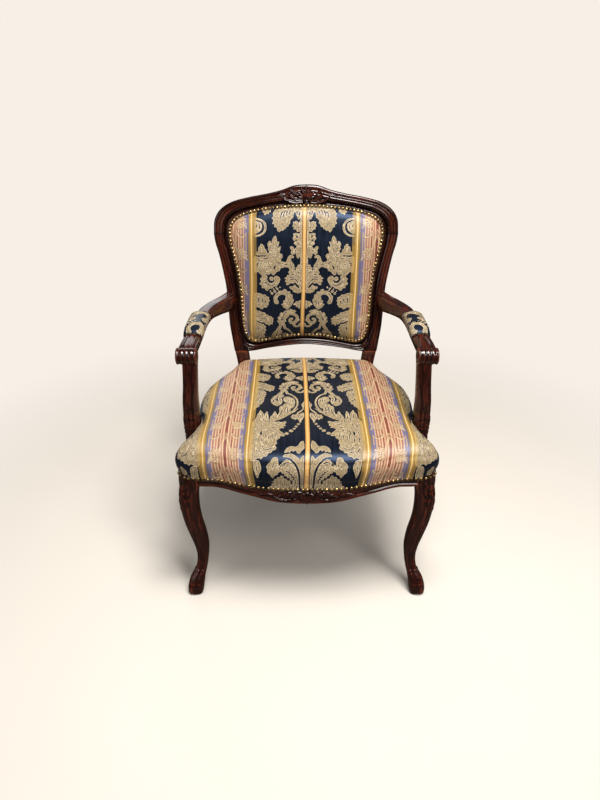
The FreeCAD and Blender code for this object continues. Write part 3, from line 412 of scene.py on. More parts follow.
def damask():
    """The striped silk damask: figured ground, gold stripe, fine rose stripes."""
    n = Nodes("damask")
    place = n.value("fabric", "Vector")
    u, v = n.new("SeparateXYZ", {0: place}).node.outputs[:2]
    x = n.math("PINGPONG", u, HALF_WIDTH)
    depth = n.value("motif")
    threads = n.noise(place, (1500.0, 55.0, 1.0), 1.0, 1.0)
    slubs = n.noise(place, (260.0, 9.0, 1.0), 1.0, 3.0)
    patches = n.noise(place, (60.0, 60.0, 1.0), 1.0, 3.0)
    ribs = n.noise(place, (170.0, 120.0, 1.0), 1.0, 2.0, 0.6)
    teeth = n.noise(place, (310.0, 290.0, 1.0), 1.0, 1.0)
    # The figures: ragged at their edges, with thin lines and a wavering line of the ground inside
    edge = n.add(n.add(depth, n.mul(n.sub(threads, 0.5), 0.7)), n.mul(n.sub(teeth, 0.5), 2.4))
    thin = n.between(n.off(ribs), 0.02, 0.05, 0.5, 0.0)
    figure = n.sub(n.between(edge, -0.1, 0.35), n.mul(thin, n.between(depth, 2.2, 3.4)), clamp=True)
    level = n.add(depth, n.mul(n.sub(patches, 0.5), 2.4))
    inside = n.between(n.off(level, 2.0), 0.15, 0.5, 0.62, 0.0)
    figure = n.sub(figure, n.mul(inside, n.between(depth, 0.9, 1.4)), clamp=True)
    ground = n.mix(n.between(slubs, 0.3, 0.75), "080a10", "151b27")
    thread = n.mix(n.between(n.add(depth, n.mul(patches, 3.0)), 1.2, 4.4), "a8967a", "806c4c")
    thread = n.mix(n.between(threads, 0.35, 0.7, 0.0, 0.45), thread, "b8a885")
    body = n.mix(figure, ground, thread)
    # The rose band: thin lines, lilac blocks along its edge, faint figures with darker borders
    lines = n.add(x, n.mul(n.sub(slubs, 0.5), 0.0012))
    share = n.math("DIVIDE", n.sub(lines, ROSE_FROM), HALF_WIDTH - ROSE_FROM, clamp=True)
    rose = n.ramp(share, [(k / 14, text) for k, text in enumerate(ROSE.split())], "CONSTANT")
    blocks = n.noise(place, (0.0, 13.0, 1.0), 1.0, 0.0)
    lilac = n.mul(n.between(x, *LILAC_FROM), n.between(x, *LILAC_TO, 1.0, 0.0))
    rose = n.mix(n.mul(lilac, n.between(blocks, 0.49, 0.51, 0.1, 0.8)), rose, "55516e")
    rose = n.mix(n.mul(figure, n.between(patches, 0.35, 0.65, 0.3, 0.7)), rose, "b8a47c")
    rose = n.mix(n.between(n.math("ABSOLUTE", edge), 0.2, 0.9, 0.6, 0.0), rose, "5a3a30")
    # The gold stripe and bands, with olive blocks
    gold = n.ramp(n.math("DIVIDE", x, HALF_WIDTH), [(float(a), b) for a, b in zip(GOLD[::2], GOLD[1::2])])
    olive = n.mul(n.between(x, *OLIVE_FROM), n.between(x, *OLIVE_TO, 1.0, 0.0))
    dark = n.noise(place, (3.0, 19.0, 1.0), 1.0, 0.0)
    gold = n.mix(n.mul(olive, n.between(dark, 0.49, 0.51, 0.15, 0.8)), gold, "3a3a20")
    gold = n.mix(n.mul(olive, n.mul(figure, 0.5)), gold, "cdb47c")
    gold = n.mix(n.between(n.noise(place, (900.0, 0.0, 1.0), 1.0, 0.0), 0.42, 0.58, 0.5, 0.0), gold, "6c5422")
    gold = n.mix(n.between(n.noise(place, (420.0, 520.0, 1.0), 1.0, 1.0), 0.5, 0.6, 0.0, 0.45), gold, "8a5e2c")
    stripes = n.mix(n.math("GREATER_THAN", x, ROSE_FROM), gold, rose)
    at_middle = n.math("LESS_THAN", x, STRIPE_TO)
    striped = n.math("MAXIMUM", at_middle, n.math("GREATER_THAN", x, GOLD_FROM))
    # Painted shade: the cloth along the hem, in the gaps between the nails, darkened towards near black by the hem
    # values
    colour = n.mix(n.mul(n.value("hem"), 0.8), n.mix(striped, body, stripes), "120a08")
    raised = n.mul(n.between(depth, -0.4, 0.5), n.sub(1.0, at_middle))
    twill = n.math("PINGPONG", n.mul(n.add(u, v), 900.0), 1.0)
    height = n.add(raised, n.mul(n.add(twill, threads), 0.16))
    rough = n.mix(striped, n.mix(figure, (0.36, 0.36, 0.36, 1), (0.62, 0.62, 0.62, 1)), (0.45, 0.45, 0.45, 1))
    pale = n.math("MAXIMUM", striped, figure)
    return n.finish(Base_Color=colour, Roughness=rough, Normal=n.bump(height, 0.45, 0.0005), Anisotropic=0.4,
                    Specular_Tint=n.mix(pale, "8298bd", (1, 1, 1, 1)), Specular_IOR_Level=0.5,
                    Sheen_Weight=0.22, Sheen_Roughness=0.35, Sheen_Tint=n.mix(pale, "6f7f9c", "cdbb9a"))


def woven(name, dark, light, scale):
    """Plain weave: two sets of threads over and under each other."""
    n = Nodes(name)
    grain = n.value("grain", "Vector")
    warp, weft = n.new("SeparateXYZ", {0: n.scaled(grain, (scale, scale, scale))}).node.outputs[:2]
    cross = n.mul(n.math("PINGPONG", warp, 1.0), n.math("PINGPONG", weft, 1.0))
    slubs = n.noise(grain, (0.4, 0.05, 0.2), 2.0, 4.0)
    colour = n.mix(n.add(n.mul(cross, 0.6), n.mul(slubs, 0.4)), dark, light)
    return n.finish(Base_Color=colour, Roughness=0.9, Normal=n.bump(n.add(cross, slubs), 0.5, 0.0004),
                    Sheen_Weight=0.2)


def brass():
    """Antique brass, worn brighter in patches."""
    n = Nodes("nail_brass")
    grain = n.value("grain", "Vector")
    worn = n.noise(grain, (0.12, 0.12, 0.12), 1.0, 3.0)
    fine = n.noise(grain, (1.4, 1.4, 1.4), 1.0, 2.0)
    colour = n.mix(n.between(worn, 0.35, 0.65), "6a5030", "dcbc80")
    colour = n.mix(n.between(fine, 0.33, 0.46, 0.4, 0.0), colour, "3a2a18")
    return n.finish(Base_Color=colour, Metallic=1.0, Roughness=n.between(worn, 0.3, 0.7, 0.42, 0.26),
                    Normal=n.bump(fine, 0.15, 0.0003))


def fibre(name, dark, light):
    """Curled hair and wadding."""
    n = Nodes(name)
    grain = n.value("grain", "Vector")
    curls = n.noise(grain, (0.5, 0.5, 0.5), 1.0, 6.0, 0.7)
    clumps = n.noise(grain, (0.05, 0.05, 0.05), 1.0, 3.0)
    colour = n.mix(n.add(n.mul(curls, 0.7), n.mul(clumps, 0.3)), dark, light)
    return n.finish(Base_Color=colour, Roughness=0.95, Normal=n.bump(curls, 0.8, 0.002))


# Each material with its slot's name
WOOD = wood("wood", "100403", "270b06", "5a210f", 0.15), "wood"
BEECH = wood("beech", "8d5f3a", "b98a5e", "d8b183", 0.45), "beech"
DAMASK = damask(), "damask"
BRASS = brass(), "nail_brass"
BLACK = woven("black_cloth", "0a0a0b", "262628", 1.2), "black_cloth"
WEBBING = woven("webbing", "6d5238", "c7ab80", 0.9), "webbing"
HESSIAN = woven("hessian", "7d6240", "c6a878", 0.7), "hessian"
STUFFING = fibre("stuffing", "3a2c20", "b09a7c"), "stuffing"

# Damask: the woven figures on one half of the cloth's repeat, in centimetres from its middle line
# and up the cloth. The value kept is the depth inside a figure, negative on the ground.
REPEAT = 80.0
HALF = 20.2
CELL = 0.1
MOTIF_X = np.arange(0, HALF + CELL, CELL)
MOTIF_V = np.arange(0, REPEAT, CELL)
motif = np.full((len(MOTIF_V), len(MOTIF_X)), -1.0)


def drawn(points, each):
    """A line's points, as numbers or as text: the first place and the steps to the others, in millimetres."""
    if not isinstance(points, str):
        return np.array(points, float)
    line = rows(points, each)
    line[:, :2] = np.cumsum(line[:, :2], axis=0)
    return line / 10


def curve(points, closed=False):
    """A smooth line through points, evenly sampled."""
    return spline(points, lambda b, c: max(2, int(np.hypot(*(c - b)[:2]) / 0.12)), closed)


def window(x, v, reach):
    """The cells near a figure, with their places."""
    ix = np.flatnonzero((MOTIF_X > x.min() - reach) & (MOTIF_X < x.max() + reach))
    iv = np.arange(int((v.min() - reach) / CELL), int((v.max() + reach) / CELL) + 1)
    gx, gv = np.meshgrid(MOTIF_X[ix], iv * CELL)
    return np.ix_(iv % len(MOTIF_V), ix), gx[..., None], gv[..., None]


def stroke(points, cut=False):
    """A tapering line of x, v and half width, or a line of the ground cut into a figure."""
    x, v, wide = curve(drawn(points, 3)).T
    cells, gx, gv = window(x, v, wide.max() + 0.6)
    depth = (wide - np.hypot(gx - x, gv - v)).max(axis=2)
    motif[cells] = np.minimum(motif[cells], -depth) if cut else np.maximum(motif[cells], depth)


def blob(points):
    """A leaf or flower drawn by its edge."""
    edge = curve(drawn(points, 2), closed=True)
    ahead = np.roll(edge, -1, 0)
    cells, gx, gv = window(edge[:, 0], edge[:, 1], 0.6)
    here = np.stack([gx, gv], -1)
    run = ahead - edge
    t = np.clip(((here - edge) * run).sum(-1) / np.maximum((run * run).sum(-1), 1e-9), 0, 1)
    far = np.linalg.norm(here - (edge + t[..., None] * run), axis=-1).min(axis=2)
    y0, y1 = edge[:, 1], ahead[:, 1]
    cross = edge[:, 0] + (gv - y0) * run[:, 0] / np.where(y1 == y0, 1, y1 - y0)
    inside = (((y0 > gv) != (y1 > gv)) & (gx < cross)).sum(axis=2) % 2 == 1
    motif[cells] = np.maximum(motif[cells], np.where(inside, far, -far))


def veins(text, wide=0.13):
    """Thin lines of the ground inside a figure, tapering to their ends."""
    for line in text.split("/") if isinstance(text, str) else [text]:
        line = drawn(line, 2)
        width = np.full(len(line), wide)
        width[[0, -1]] *= 0.35
        stroke(np.column_stack([line, width]), cut=True)


def dots(places, size=0.14):
    """Spots of the ground inside a figure, as numbers or as text in millimetres."""
    for x, v in rows(places, 2) / 10 if isinstance(places, str) else places:
        stroke([(x - 0.02, v, size), (x + 0.02, v, size)], cut=True)


def beads(text):
    """Square beads on the ground: x, v and half size in millimetres."""
    for x, v, size in rows(text, 3) / 10:
        blob([(x + size * a, v + size * b) for a, b in ((-1, -0.2), (-0.1, 1), (1, 0.2), (0.1, -1))])


# The great plume and its side leaf
blob("8 142,2 22,6 -1,4 -7,3 -7,6 -5,7 2,8 -1,5 -4,5 -7,2 -7,-5 -2,-4 4,-4 -4,-3 7,-6 -4,-4 5,-4 -7,-6 -3,-4 6,-6 7")
blob("""7 30,1 50,1 36,6 -3,4 -6,3 4,6 5,6 4,6 3,8 -1,8 -3,3 -5,-7 -1,-7 -1,-6 -3,-6 -6,-6 -6,-5 -8,-4 -10,-3 -13,
    -1 -14,-1 -12,-2 -9""")
blob("""17 32,2 24,3 18,7 17,7 8,8 7,7 1,6 -5,6 -6,6 -4,1 10,2 9,7 2,6 -4,4 -7,6 -5,4 -7,-2 -6,1 -6,-4 -5,-4 -4,
    -4 -6,-3 -4,-3 7,-4 4,-4 -1,-2 7,-4 0,-2 5,-4 -8,-5 0,-2 -7,-4 1,-3 -7,-5 1,-2 -7,-5 -1,-3 -8,-4 -2,-4 -11""")
veins("56 99,6 -7,8 -9/73 97,2 -5,-2 -5/80 95,4 -6,-1 -7/22 36,7 20,13 18,12 8/30 88,12 10,10 0,8 -10")
dots("43 89,36 83,47 84,42 77,30 77,35 71,25 69,30 63,23 59,26 52,21 48,21 40,50 77,44 70,37 62,32 55")
blob("""22 30,5 10,5 6,5 1,2 5,6 0,3 6,6 0,3 7,5 3,4 -6,5 2,4 -7,5 0,2 -7,6 -1,2 -8,6 0,3 -8,7 -1,4 -8,2 -54,-104 0,
    0 50""")
veins("36 44,4 -8,2 -12/46 51,3 -9,1 -12/56 56,3 -10,0 -12/68 56,1 -10,-2 -12/79 49,-1 -9,-4 -10/90 37,-4 -7,-6 -8")
dots("13 30,19 26,46 28,56 26,64 29,72 24,32 34,30 23", 0.17)

for row in range(7):
    dots([(1.4 + 1.05 * k + 0.5 * (row % 2), 2.2 - 0.75 * row) for k in range(9)], 0.2)

# The posy beside the gold stripe and the leaf that hangs from it
blob("113 95,-1 -10,6 -11,6 -13,4 13,3 16,0 16,-13 0")
blob("""140 116,0 124,-10 14,-12 -6,-12 4,-10 -5,-8 5,-8 -6,-6 3,-8 -4,-8 4,-6 -4,5 -9,-3 -7,7 -3,-3 -7,8 -1,5 -5,
    -3 -7,-5 -6,-4 -8,3 -7,6 0,1 -9,5 -4,3 -6,-2 -10,5 -5,-4 -9,2 -8,7 -2,3 -7,7 -1,3 -8,8 -1,6 -6,6 4""")
blob("73 260,5 8,-2 10,4 10,3 9,4 -7,3 -10,4 -8,2 -12,-2 -11,-10 1")
blob("98 249,1 15,1 14,2 13,2 7,4 -10,2 -14,1 -20,-1 -9")
blob("110 250,2 18,0 15,5 12,5 9,3 -12,4 -10,1 -14,3 -12,-13 -10")
veins("""84 284,2 -16,2 -12/104 284,1 -14,-1 -14/121 290,-1 -16,-2 -18/97 270,0 -14,-4 -12/111 270,1 -12,1 -14/
    70 236,12 -2,12 2/66 242,10 -2,12 3/103 216,3 -16,-3 -18,2 -14/70 212,8 7,10 1,10 -6/80 206,8 3,7 -7/74 198,
    5 -10,-1 -12/84 194,4 -12,-2 -16/94 192,3 -14,-2 -18/112 182,2 -12,-2 -16/124 184,3 -14,-3 -14/82 146,8 -8,
    12 -2,8 8,-2 10/92 152,4 -5,5 2/114 124,8 8,4 12/96 126,10 2,8 8/122 102,1 -14,1 -14/129 240,-4 -14,6 -14/
    114 240,2 -10,6 -6""")
stroke("115 203 2,1 -7 3,-1 -6 2", cut=True)
veins("109 206,3 7,8 1,6 -8,-1 -12,-5 -6", 0.1)
dots("82 229,89 226,96 227,85 199,91 195,89 213,100 241,108 238,104 227")
beads("17.5 246 3.6,22.5 236 4.2,28 225 4.2,33 215 4.2,41 206 5.5,52 195 5.5,60 188 4")

# Leaves at the middle, above the hanging beads
blob("8 289,6 0,6 -5,6 2,5 -5,8 -1,0 -6,4 -4,-4 -4,1 -5,-6 0,-3 -6,-4 5,-4 -2,-2 -6,-4 5,-4 7,-5 4")
stroke("9 312 1.6,6 -12 2,9 -11 2.2")
stroke("9 272 1.6,4 -12 1.8,5 -10 2")
stroke("22 313 1,8 -13 1.4,6 -8 2")
veins("16 280,6 -8,1 -8/28 277,4 -7,-1 -7/11 280,2 -6,5 -6")
blob("6 352,3 -10,5 -10,-2 -10,-4 -8")

# The large scroll round its leaf
stroke("50 391 3,-8 -5 3,-10 -13 2.6,-6 -15 2.4,-2 -18 2.4,2 -17 2.4,6 -15 2.6,8 -15 3,10 -13 3.4,14 -11 4")
blob("31 348,3 14,8 7,6 5,7 0,6 -6,1 -8,0 -8,-4 -8,-8 -9,-5 -11,-4 -12,-5 4,-4 14")
blob("49 329,6 7,6 -4,4 -10,4 2,3 -10,0 -19,4 -17,8 -14,11 -11,-15 1,-14 7,-12 12,-8 13,-3 14,1 16")
veins("""40 363,-3 -11,0 -14/47 366,-4 -12,-1 -18/54 364,-5 -10,-2 -12/58 356,-4 -7/36 329,3 -7/52 326,-2 -16,3 -16/
    59 326,-2 -18,4 -22/66 318,-1 -18,4 -18,7 -13/49 304,1 -12,5 -10/40 380,9 4""")
blob("61 381,7 6,8 -1,10 -7,7 -12,3 -15,-3 -14,-6 -9,-8 -6,-7 5,-5 7,-2 11,1 12,2 8,-5 6")
veins("73 379,6 -11,-1 -14,-4 -12/87 359,2 -10,-4 -9", 0.19)
veins("69 377,3 -11,-1 -14,-1 -12/84 370,0 -10,-3 -10")

# The small scroll, its hook and the acanthus beside it
stroke("50 442 3.4,-9 7 4.2,-12 0 4.6,-10 -6 4.8,-3.5 -10 4.6,2.5 -10 4.6,8 -8 5,8 1 4.5,4 7 4.2,-3 7 4.6,-3 0 4")
blob("31 418,-1 -6,5 -3,4 5,-1 6")
stroke("6 410 3.8,3 -7 3.4,6 -3.5 3.4,7 1 3.6,4 5.5 4.2")
stroke("10 426 2,6 -6 2.5,5 -6 3")
blob("""41 440,5 -6,5 -7,-3 -7,6 -2,-1 -6,7 -6,8 3,5 6,4 7,-6 3,4 8,-3 7,-5 -2,2 9,-5 9,-5 -3,-5 8,-8 1,-8 6,-6 -3,
    -7 -1,-6 -5,7 -5,8 1,8 -3,7 -5""")
veins("42 458,8 -4,7 -10,4 -14,1 -16/52 436,5 -5,3 -6/69 433,-4 -5,-2 -6/63 449,-2 -7/32 461,8 -2")
stroke("62 412 5,4 -12 5.5,6 -10 5,4 -8 4")
stroke("56 410 3,-2 -10 4,-2 -8 4")
veins("60 410,1 -12,5 -12")

# The leaf and arch above it, the small flower at the middle, the chequers
blob("28 500,2 -8,3 -9,6 -9,8 -8,5 4,7 5,1 5,5 5,-7 4,2 8,-6 3,-1 8,-5 2,-6 4,-7 -2,-3 -6")
veins("37 506,2 -14,6 -14/49 502,-2 -12,2 -12/56 492,-4 -8")
blob("""33 506,0 10,6 3,1 7,8 0,4 6,7 1,4 -6,7 2,5 -5,6 -2,2 -6,5 -6,0 -8,-2 -10,-5 -6,-6 1,-2 7,4 7,-1 8,-6 6,-8 2,
    -8 -3,-4 -6,-6 -6""")
veins("42 510,6 9,8 4/70 522,8 -6,4 -10")
blob("8 499,6 -4,6 1,4 -6,5 -5,-4 -4,-5 1,1 -6,-6 -1,-4 -6,-3 3")
veins("10 485,6 1,7 -1")
beads("70.5 538 2.7,77.5 534 3.3,85.5 526.5 4.2,93.5 520 4.2,75 529 2,82 537 2,89 533 2.4,98 527 2.4")

# The palmette and the curled leaf over it
blob("7 534,12 4,7 7,6 -4,10 -1,-3 -6,-6 -2,-2 -6,-7 -3,-7 -2,-10 3")
blob("""7 539,9 4,9 8,7 -3,7 2,6 -5,7 0,-1 6,5 3,-4 5,6 3,-7 4,-2 6,-5 -1,-2 4,-8 -3,-5 2,-1 10,-5 2,2 6,-5 3,-2 6,
    -6 1,-1 7,-4 1""")
veins("9 548,8 3,8 8,9 1,10 -4/12 562,6 6,6 8/29 569,7 -4,9 0/12 582,4 6/20 586,-3 -8,-5 -6", 0.14)
dots("10.5 556,10.5 570,10.5 586,10.5 596", 0.16)
blob("""29 577,-1 13,2 12,6 8,3 8,-4 3,-5 0,2 6,8 2,7 -5,3 -9,4 -6,8 1,7 0,0 -10,0 -7,-6 -1,-7 3,-9 -2,-5 -7,4 -7,
    -4 -4,-7 0""")
veins("34 584,2 12,8 10/44 599,10 4,10 -2")

# The upper posy: its spire, flowers and the curl below
blob("""69 592,3 -8,8 -3,4 -5,5 -5,5 2,3 9,3 -8,6 -2,6 3,7 -5,6 4,5 6,10 0,0 42,-12 1,-8 2,-8 0,0 8,-5 2,-5 4,4 7,
    -2 6,3 8,-7 9,-4 -8,-2 7,-3 8,-7 8,-4 -9,-1 -9,-6 1,2 -10,1 -7,-7 4,1 -10,3 -10,-8 -2,-2 -8,5 -8,-3 -10""")
blob("110 631,0 11,4 5,2 8,7 6,2 -7,4 -4,1 -10,6 -6,-4 -5,-12 -1")
veins("""85 670,2 -8/78 660,4 -6,3 -5/74 647,5 -4,3 -5/100 660,-2 -8,-2 -6/99 640,-2 -6/70 626,5 -4,3 -6/104 630,
    -4 -6/122 652,-1 -12/72 596,0 8,7 5,7 -1/96 606,3 -12,-2 -8/102 616,10 4,12 -4/92 619,2 -7,8 -6/129 610,4 -8,
    -1 -10/102 584,8 -2""")
stroke("83 599 1.4,4 -6 2.6,1 -6 1.2", cut=True)
dots("89 655,85 648,93 648,89 642,85 635,93 636,89 629,82 628,95 627,86 622")
dots([(10.5 + 0.55 * i + 0.16 * j, 60.6 - 0.52 * j + 0.1 * i) for i in range(5) for j in range(4)], 0.13)
blob("""72 552,-2 8,5 7,7 2,6 -4,1 -5,-3 -3,3 -5,7 -3,8 3,5 7,-1 7,6 8,8 -1,-1 -8,5 -5,-3 -6,4 -7,-6 -5,0 -6,-7 -1,
    -2 -6,-6 0,-4 5,-8 1,-6 5,-8 1,-4 6""")
blob("90 560,3 6,7 0,2 -6,-3 -4,-6 -1")
veins("80 549,10 -5,12 0,10 6,4 10/110 540,7 6")

# Leaves that grow out of the gold stripe
blob("142 469,-10 5,-7 -4,-6 -4,-3 7,-7 0,-3 7,-4 5,2 6,-4 6,3 5,-1 6,7 2,4 6,7 0,7 4,15 -4")
veins("119 508,0 -10,3 -12/129 510,-1 -10,2 -12/111 500,1 -8,4 -8", 0.15)
blob("""142 466,-10 -4,-7 -2,-6 -5,-6 -1,-3 -6,-6 -1,-2 -6,-7 0,-3 -6,-6 -3,4 -6,-3 -6,4 -5,-2 -7,7 1,5 -7,3 7,7 0,
    3 7,8 0,8 6,12 0""")
veins("99 423,13 7,20 3/116 418,6 6,10 4/112 442,8 4,12 3/100 432,8 4", 0.15)
blob("""142 418,-12 -2,-8 -6,-7 0,0 -6,-5 -5,3 -6,-4 -6,4 -5,-1 -7,5 -5,-4 -6,3 -6,-2 -8,5 -5,0 -8,6 -4,2 -10,6 -5,
    9 -10""")
veins("131 404,-2 -12,3 -12/122 402,-2 -10/124 366,1 -12,6 -12/132 370,-1 -10,3 -10", 0.15)

# The garland up the middle and the great leaf that droops from its top
stroke("8.5 610 2.5,1 70 2,-1 80 2.5")
blob("9 745,3 -15,5 -10,6 4,6 -2,5 0,-2 -6,3 -5,-4 -4,1 -5,-7 -2,-5 -6,-6 2,-5 -4,-1 28")
blob("9 690,9 -1,6 2,8 -2,-1 -7,3 -6,-5 -7,-6 5,-6 -6,-7 0")
blob("11 664,6 5,9 -1,5 -6,-5 -4,-4 -4,-7 -1,-6 2")
blob("9 650,7 3,7 -1,5 -6,5 7,8 0,-1 -6,-3 -4,2 -7,-4 -5,-6 0,-5 5,-1 -10,-5 -7,-5 5,-4 -2")
dots("25 713,21 679,17 706,15 642,25 641,16 660", 0.22)
veins("13 718,3 -10/14 684,8 -1,6 -4/29 644,3 -6/20 662,6 1")
blob("""29 753,3 7,6 5,22 1,16 -4,11 -9,5 -9,-2 -6,4 -6,-4 -7,3 -8,-6 -3,0 -7,-6 -1,-3 -9,-6 -4,-4 6,-5 -2,-4 4,
    -4 1,-2 6,-6 1,-1 6,-5 3,1 6,-4 6,-5 4,-1 8""")
veins("""39 754,4 -6,2 -8/45 756,6 -8,3 -13/52 756,7 -10,3 -16/58 755,9 -11,3 -18/64 749,8 -4/49 728,3 -6/66 756,
    10 -4""", 0.17)
blob("10 764,16 1,7 -6,-3 -7,-5 -8,-3 -8,-4 -8,-5 4,-3 14")
veins("13 752,2 -8,0 -8/21 754,1 -6,-3 -8/29 756,-4 -6", 0.17)
blob("93 768,2 -10,4 -5,-2 -5,6 0,1 -7,5 4,5 -6,2 7,4 2,-2 6,3 6,-6 8")
stroke("136 730 2.6,-12 -3 2.7,-9 -9 2.7,-2.5 -13 2.7,3.5 -12 2.7,9 -8 2.6,11 -3 2.6")
blob("120 708,2 10,7 4,5 2,5 -4,0 -28,-5 -3,-5 3,-6 6")
veins("126 716,0 -10,3 -8/132 718,1 -10,2 -8")

# Leaf sprays on the rose band
SPRAY_X = 18.3
for start in (3, 13, 23, 33, 43, 53, 63, 72):
    for turn, reach in ((150, 2.6), (185, 2.8), (215, 2.2), (110, 2.4), (70, 1.8), (250, 2.0)):
        way = np.array((math.cos(math.radians(turn)), math.sin(math.radians(turn))))
        root = np.array((SPRAY_X, start))
        mid, tip = root + 0.55 * reach * way + 0.4 * np.array((-way[1], way[0])), root + reach * way
        stroke([(*root, 0.15), (*mid, 0.52), (*tip, 0.08)])
        veins([root, mid, tip], 0.09)
    stroke([(18.4, start - 1.0, 0.15), (19.2, start + 2.4, 0.34), (19.9, start + 5.2, 0.3), (20.2, start + 7.0, 0.2)])
    stroke([(16.2, start + 5.6, 0.2), (17.2, start + 5.0, 0.5), (18.4, start + 5.6, 0.45), (18.9, start + 6.8, 0.2)])
    stroke([(16.0, start - 1.6, 0.3), (16.6, start - 0.4, 0.4), (16.2, start + 1.0, 0.2)])
    veins([(16.6, start + 5.3), (17.6, start + 5.3), (18.5, start + 6.2)])


def motif_at(fabric):
    """Depth inside a woven figure at places on the cloth in metres, in millimetres."""
    across = np.clip(np.abs((np.abs(fabric[..., 0]) * 100 + HALF) % (2 * HALF) - HALF) / CELL, 0, len(MOTIF_X) - 2.001)
    up = (fabric[..., 1] * 100 % REPEAT) / CELL
    i, j = up.astype(int) % len(MOTIF_V), across.astype(int)
    fi, fj = up % 1, across % 1
    low, high = (motif[k, j] * (1 - fj) + motif[k, j + 1] * fj for k in (i, (i + 1) % len(MOTIF_V)))
    return 10 * (low * (1 - fi) + high * fi)


# Back frame: mouldings run round the panel in stiles, crest and lower rail. The section is written as
# share of the width and depth behind the front
MOULD = rows("""0 30,0 24,0 12,0.004 8,0.02 5.4,0.05 3.6,0.09 2.3,0.13 1.7,0.17 1.7,0.205 2.4,0.23 3.6,0.245 5.2,
    0.262 5.2,0.275 3.4,0.3 1.8,0.34 1,0.38 1.2,0.405 2.4,0.42 3.8,0.435 3.8,0.45 2.2,0.48 0.7,0.54 0.1,0.6 0.2,
    0.65 1,0.69 2.2,0.73 4.6,0.78 7.2,0.83 9.2,0.89 9.8,0.94 9,0.98 7.2,1 6,1 6""", 2)


def moulding(form, stations, fade=None):
    """A moulded member between an outer and an inner line, with its rebates behind."""
    line = catmull(stations, 9)
    outer, span = line[:, :2], line[:, 2:4] - line[:, :2]
    wide = np.linalg.norm(span, axis=1)
    share = MOULD[:, 0]
    s = along(0.5 * (outer + line[:, 2:4]))
    rings, grain = [], []
    for i in range(len(line)):
        depth = MOULD[:, 1].copy()
        if fade:
            depth[3:33] *= fade(s[i])
        rebate = min(12.0, line[i, 4]) if line.shape[1] > 4 else 12.0
        q = outer[i] + np.outer(share, span[i])
        lip = q[-1] + span[i] / wide[i] * rebate
        q = np.vstack([q, lip, lip, q[-1], q[-1]])
        n = np.concatenate([depth, [6.0, 25.0, 25.0, 30.0]])
        rings.append(raked(q[:, 0], n, q[:, 1]))
        grain.append(np.stack([np.full(len(n), s[i]), n, np.append(share, [1, 1, 1, 1]) * wide[i]], 1))
    # Painted shade: the moulding's inner cove darkened, and the rebate's lip behind it, fading out towards the back
    dark = np.append(np.clip((share - 0.58) / 0.12, 0, 1), [1, 1, 0.5, 0])
    form.rings(rings, grain=grain, stain=[dark] * len(line))


def mirror(part):
    """Rows of a moulding's edges on the chair's other side."""
    return part * np.array((-1, 1, -1, 1, 1))[:part.shape[1]]


stile = Form()
moulding(stile, STILE, lambda s: min(1.0, s / 70 + 0.12))
shape = section(40, 3.4)
rings, grain = [], []
for x, y, z, w, d in catmull(REAR_LEG, 5):
    u, v = (shape * (w, d) / 2).T
    tilt = max(0.0, (z - RAIL_TOP) / 85) * math.tan(RAKE)
    rings.append(np.stack([x + u, y + v, z - v * tilt], 1))
    grain.append(np.column_stack([np.full(40, z), shape * 20]))
stile.rings(rings, grain=grain)
stile.pair(WOOD, "rear_post")


def fan(form, place, height, turn, step, reaches, foot, wide, high, skirt):
    """Seven leaves fanned out from one spot: the shell at the middle of a rail."""
    for k in range(-3, 4):
        lean, reach = math.radians(turn + step * k), reaches[abs(k)]
        tip = (reach * math.cos(lean), height + 1 + reach * math.sin(lean))
        relief(form, place, [(foot * k, height), (0.55 * tip[0], height + 0.5 * (tip[1] - height)), tip],
               wide[0] - wide[1] * abs(k), high, skirt=skirt)


def crest_at(x, h):
    """The crest's front, a little behind its highest moulding."""
    return raked(x, 1.5, h)


crest = Form()
moulding(crest, np.vstack([CREST, mirror(CREST[-2::-1])]))
fan(crest, crest_at, 448, 90, -25, (37, 35, 31, 25), 2.5, (5.2, 0.4), 5.5, 6)
reliefs(crest, crest_at, """6 5 3 6: 0 9 444,0 28 447,0 44 458,0 52 468/5 4.2 4 6: 0 10 441,0 32 440,0 54 446,0 72 457/
    4.6 4.5 2 6: 0 27 462,0 38 468,0 46 476/3.6 3.4 3 5: 0 60 462,0 78 459,0 96 452""")
reliefs(crest, crest_at, "4.6 7 0 6: 0 -6.5 445,0 0 443.5,0 6.5 445/4.2 4 0 4: 0 0 442,0 0 437,0 0 432", ways=(1,))
crest.piece("wood_crest_rail", WOOD, "crest_rail")
lower = Form()
moulding(lower, np.vstack([mirror(LOWER_RAIL[:0:-1]), LOWER_RAIL]))
lower.piece("wood_back_lower_rail", WOOD, "back_lower_rail")

# Seat frame: the rails' moulded outer faces, drawn round the plan
PLAN, PLAN_OUT = outline(SEAT_EDGE, 1200)
PLAN_X, PLAN_Y = PLAN.T
RAIL_LOW = rows("0 337,20 337.6,40 339.2,64 342,88 346.2,120 353.5,150 359,190 363.6,230 366,272 363,330 358", 2).T
# Out from the plan, share of the rail's height, height over its lower edge
RAIL_SECTION = rows("""-34 1 0,0 1 0,0.2 0.62 0,0.3 0 17,0 0 15,-0.9 0 13,-1.2 0 11,-0.4 0 9.6,0.8 0 8.8,1.9 0 7.6,
    2.6 0 5.8,2.8 0 4.2,2.4 0 2.6,1.5 0 1.2,0 0 0.3,-3 0 0,-31 0 0,-34 0 3""", 3)


def rail_at(x, z):
    """The front rail's face."""
    front = np.flatnonzero((PLAN_Y < -230) & (np.abs(PLAN_X) < 290))
    front = front[np.argsort(PLAN_X[front])]
    return np.stack([x, np.interp(x, PLAN_X[front], PLAN_Y[front]) - 0.4, z], -1)


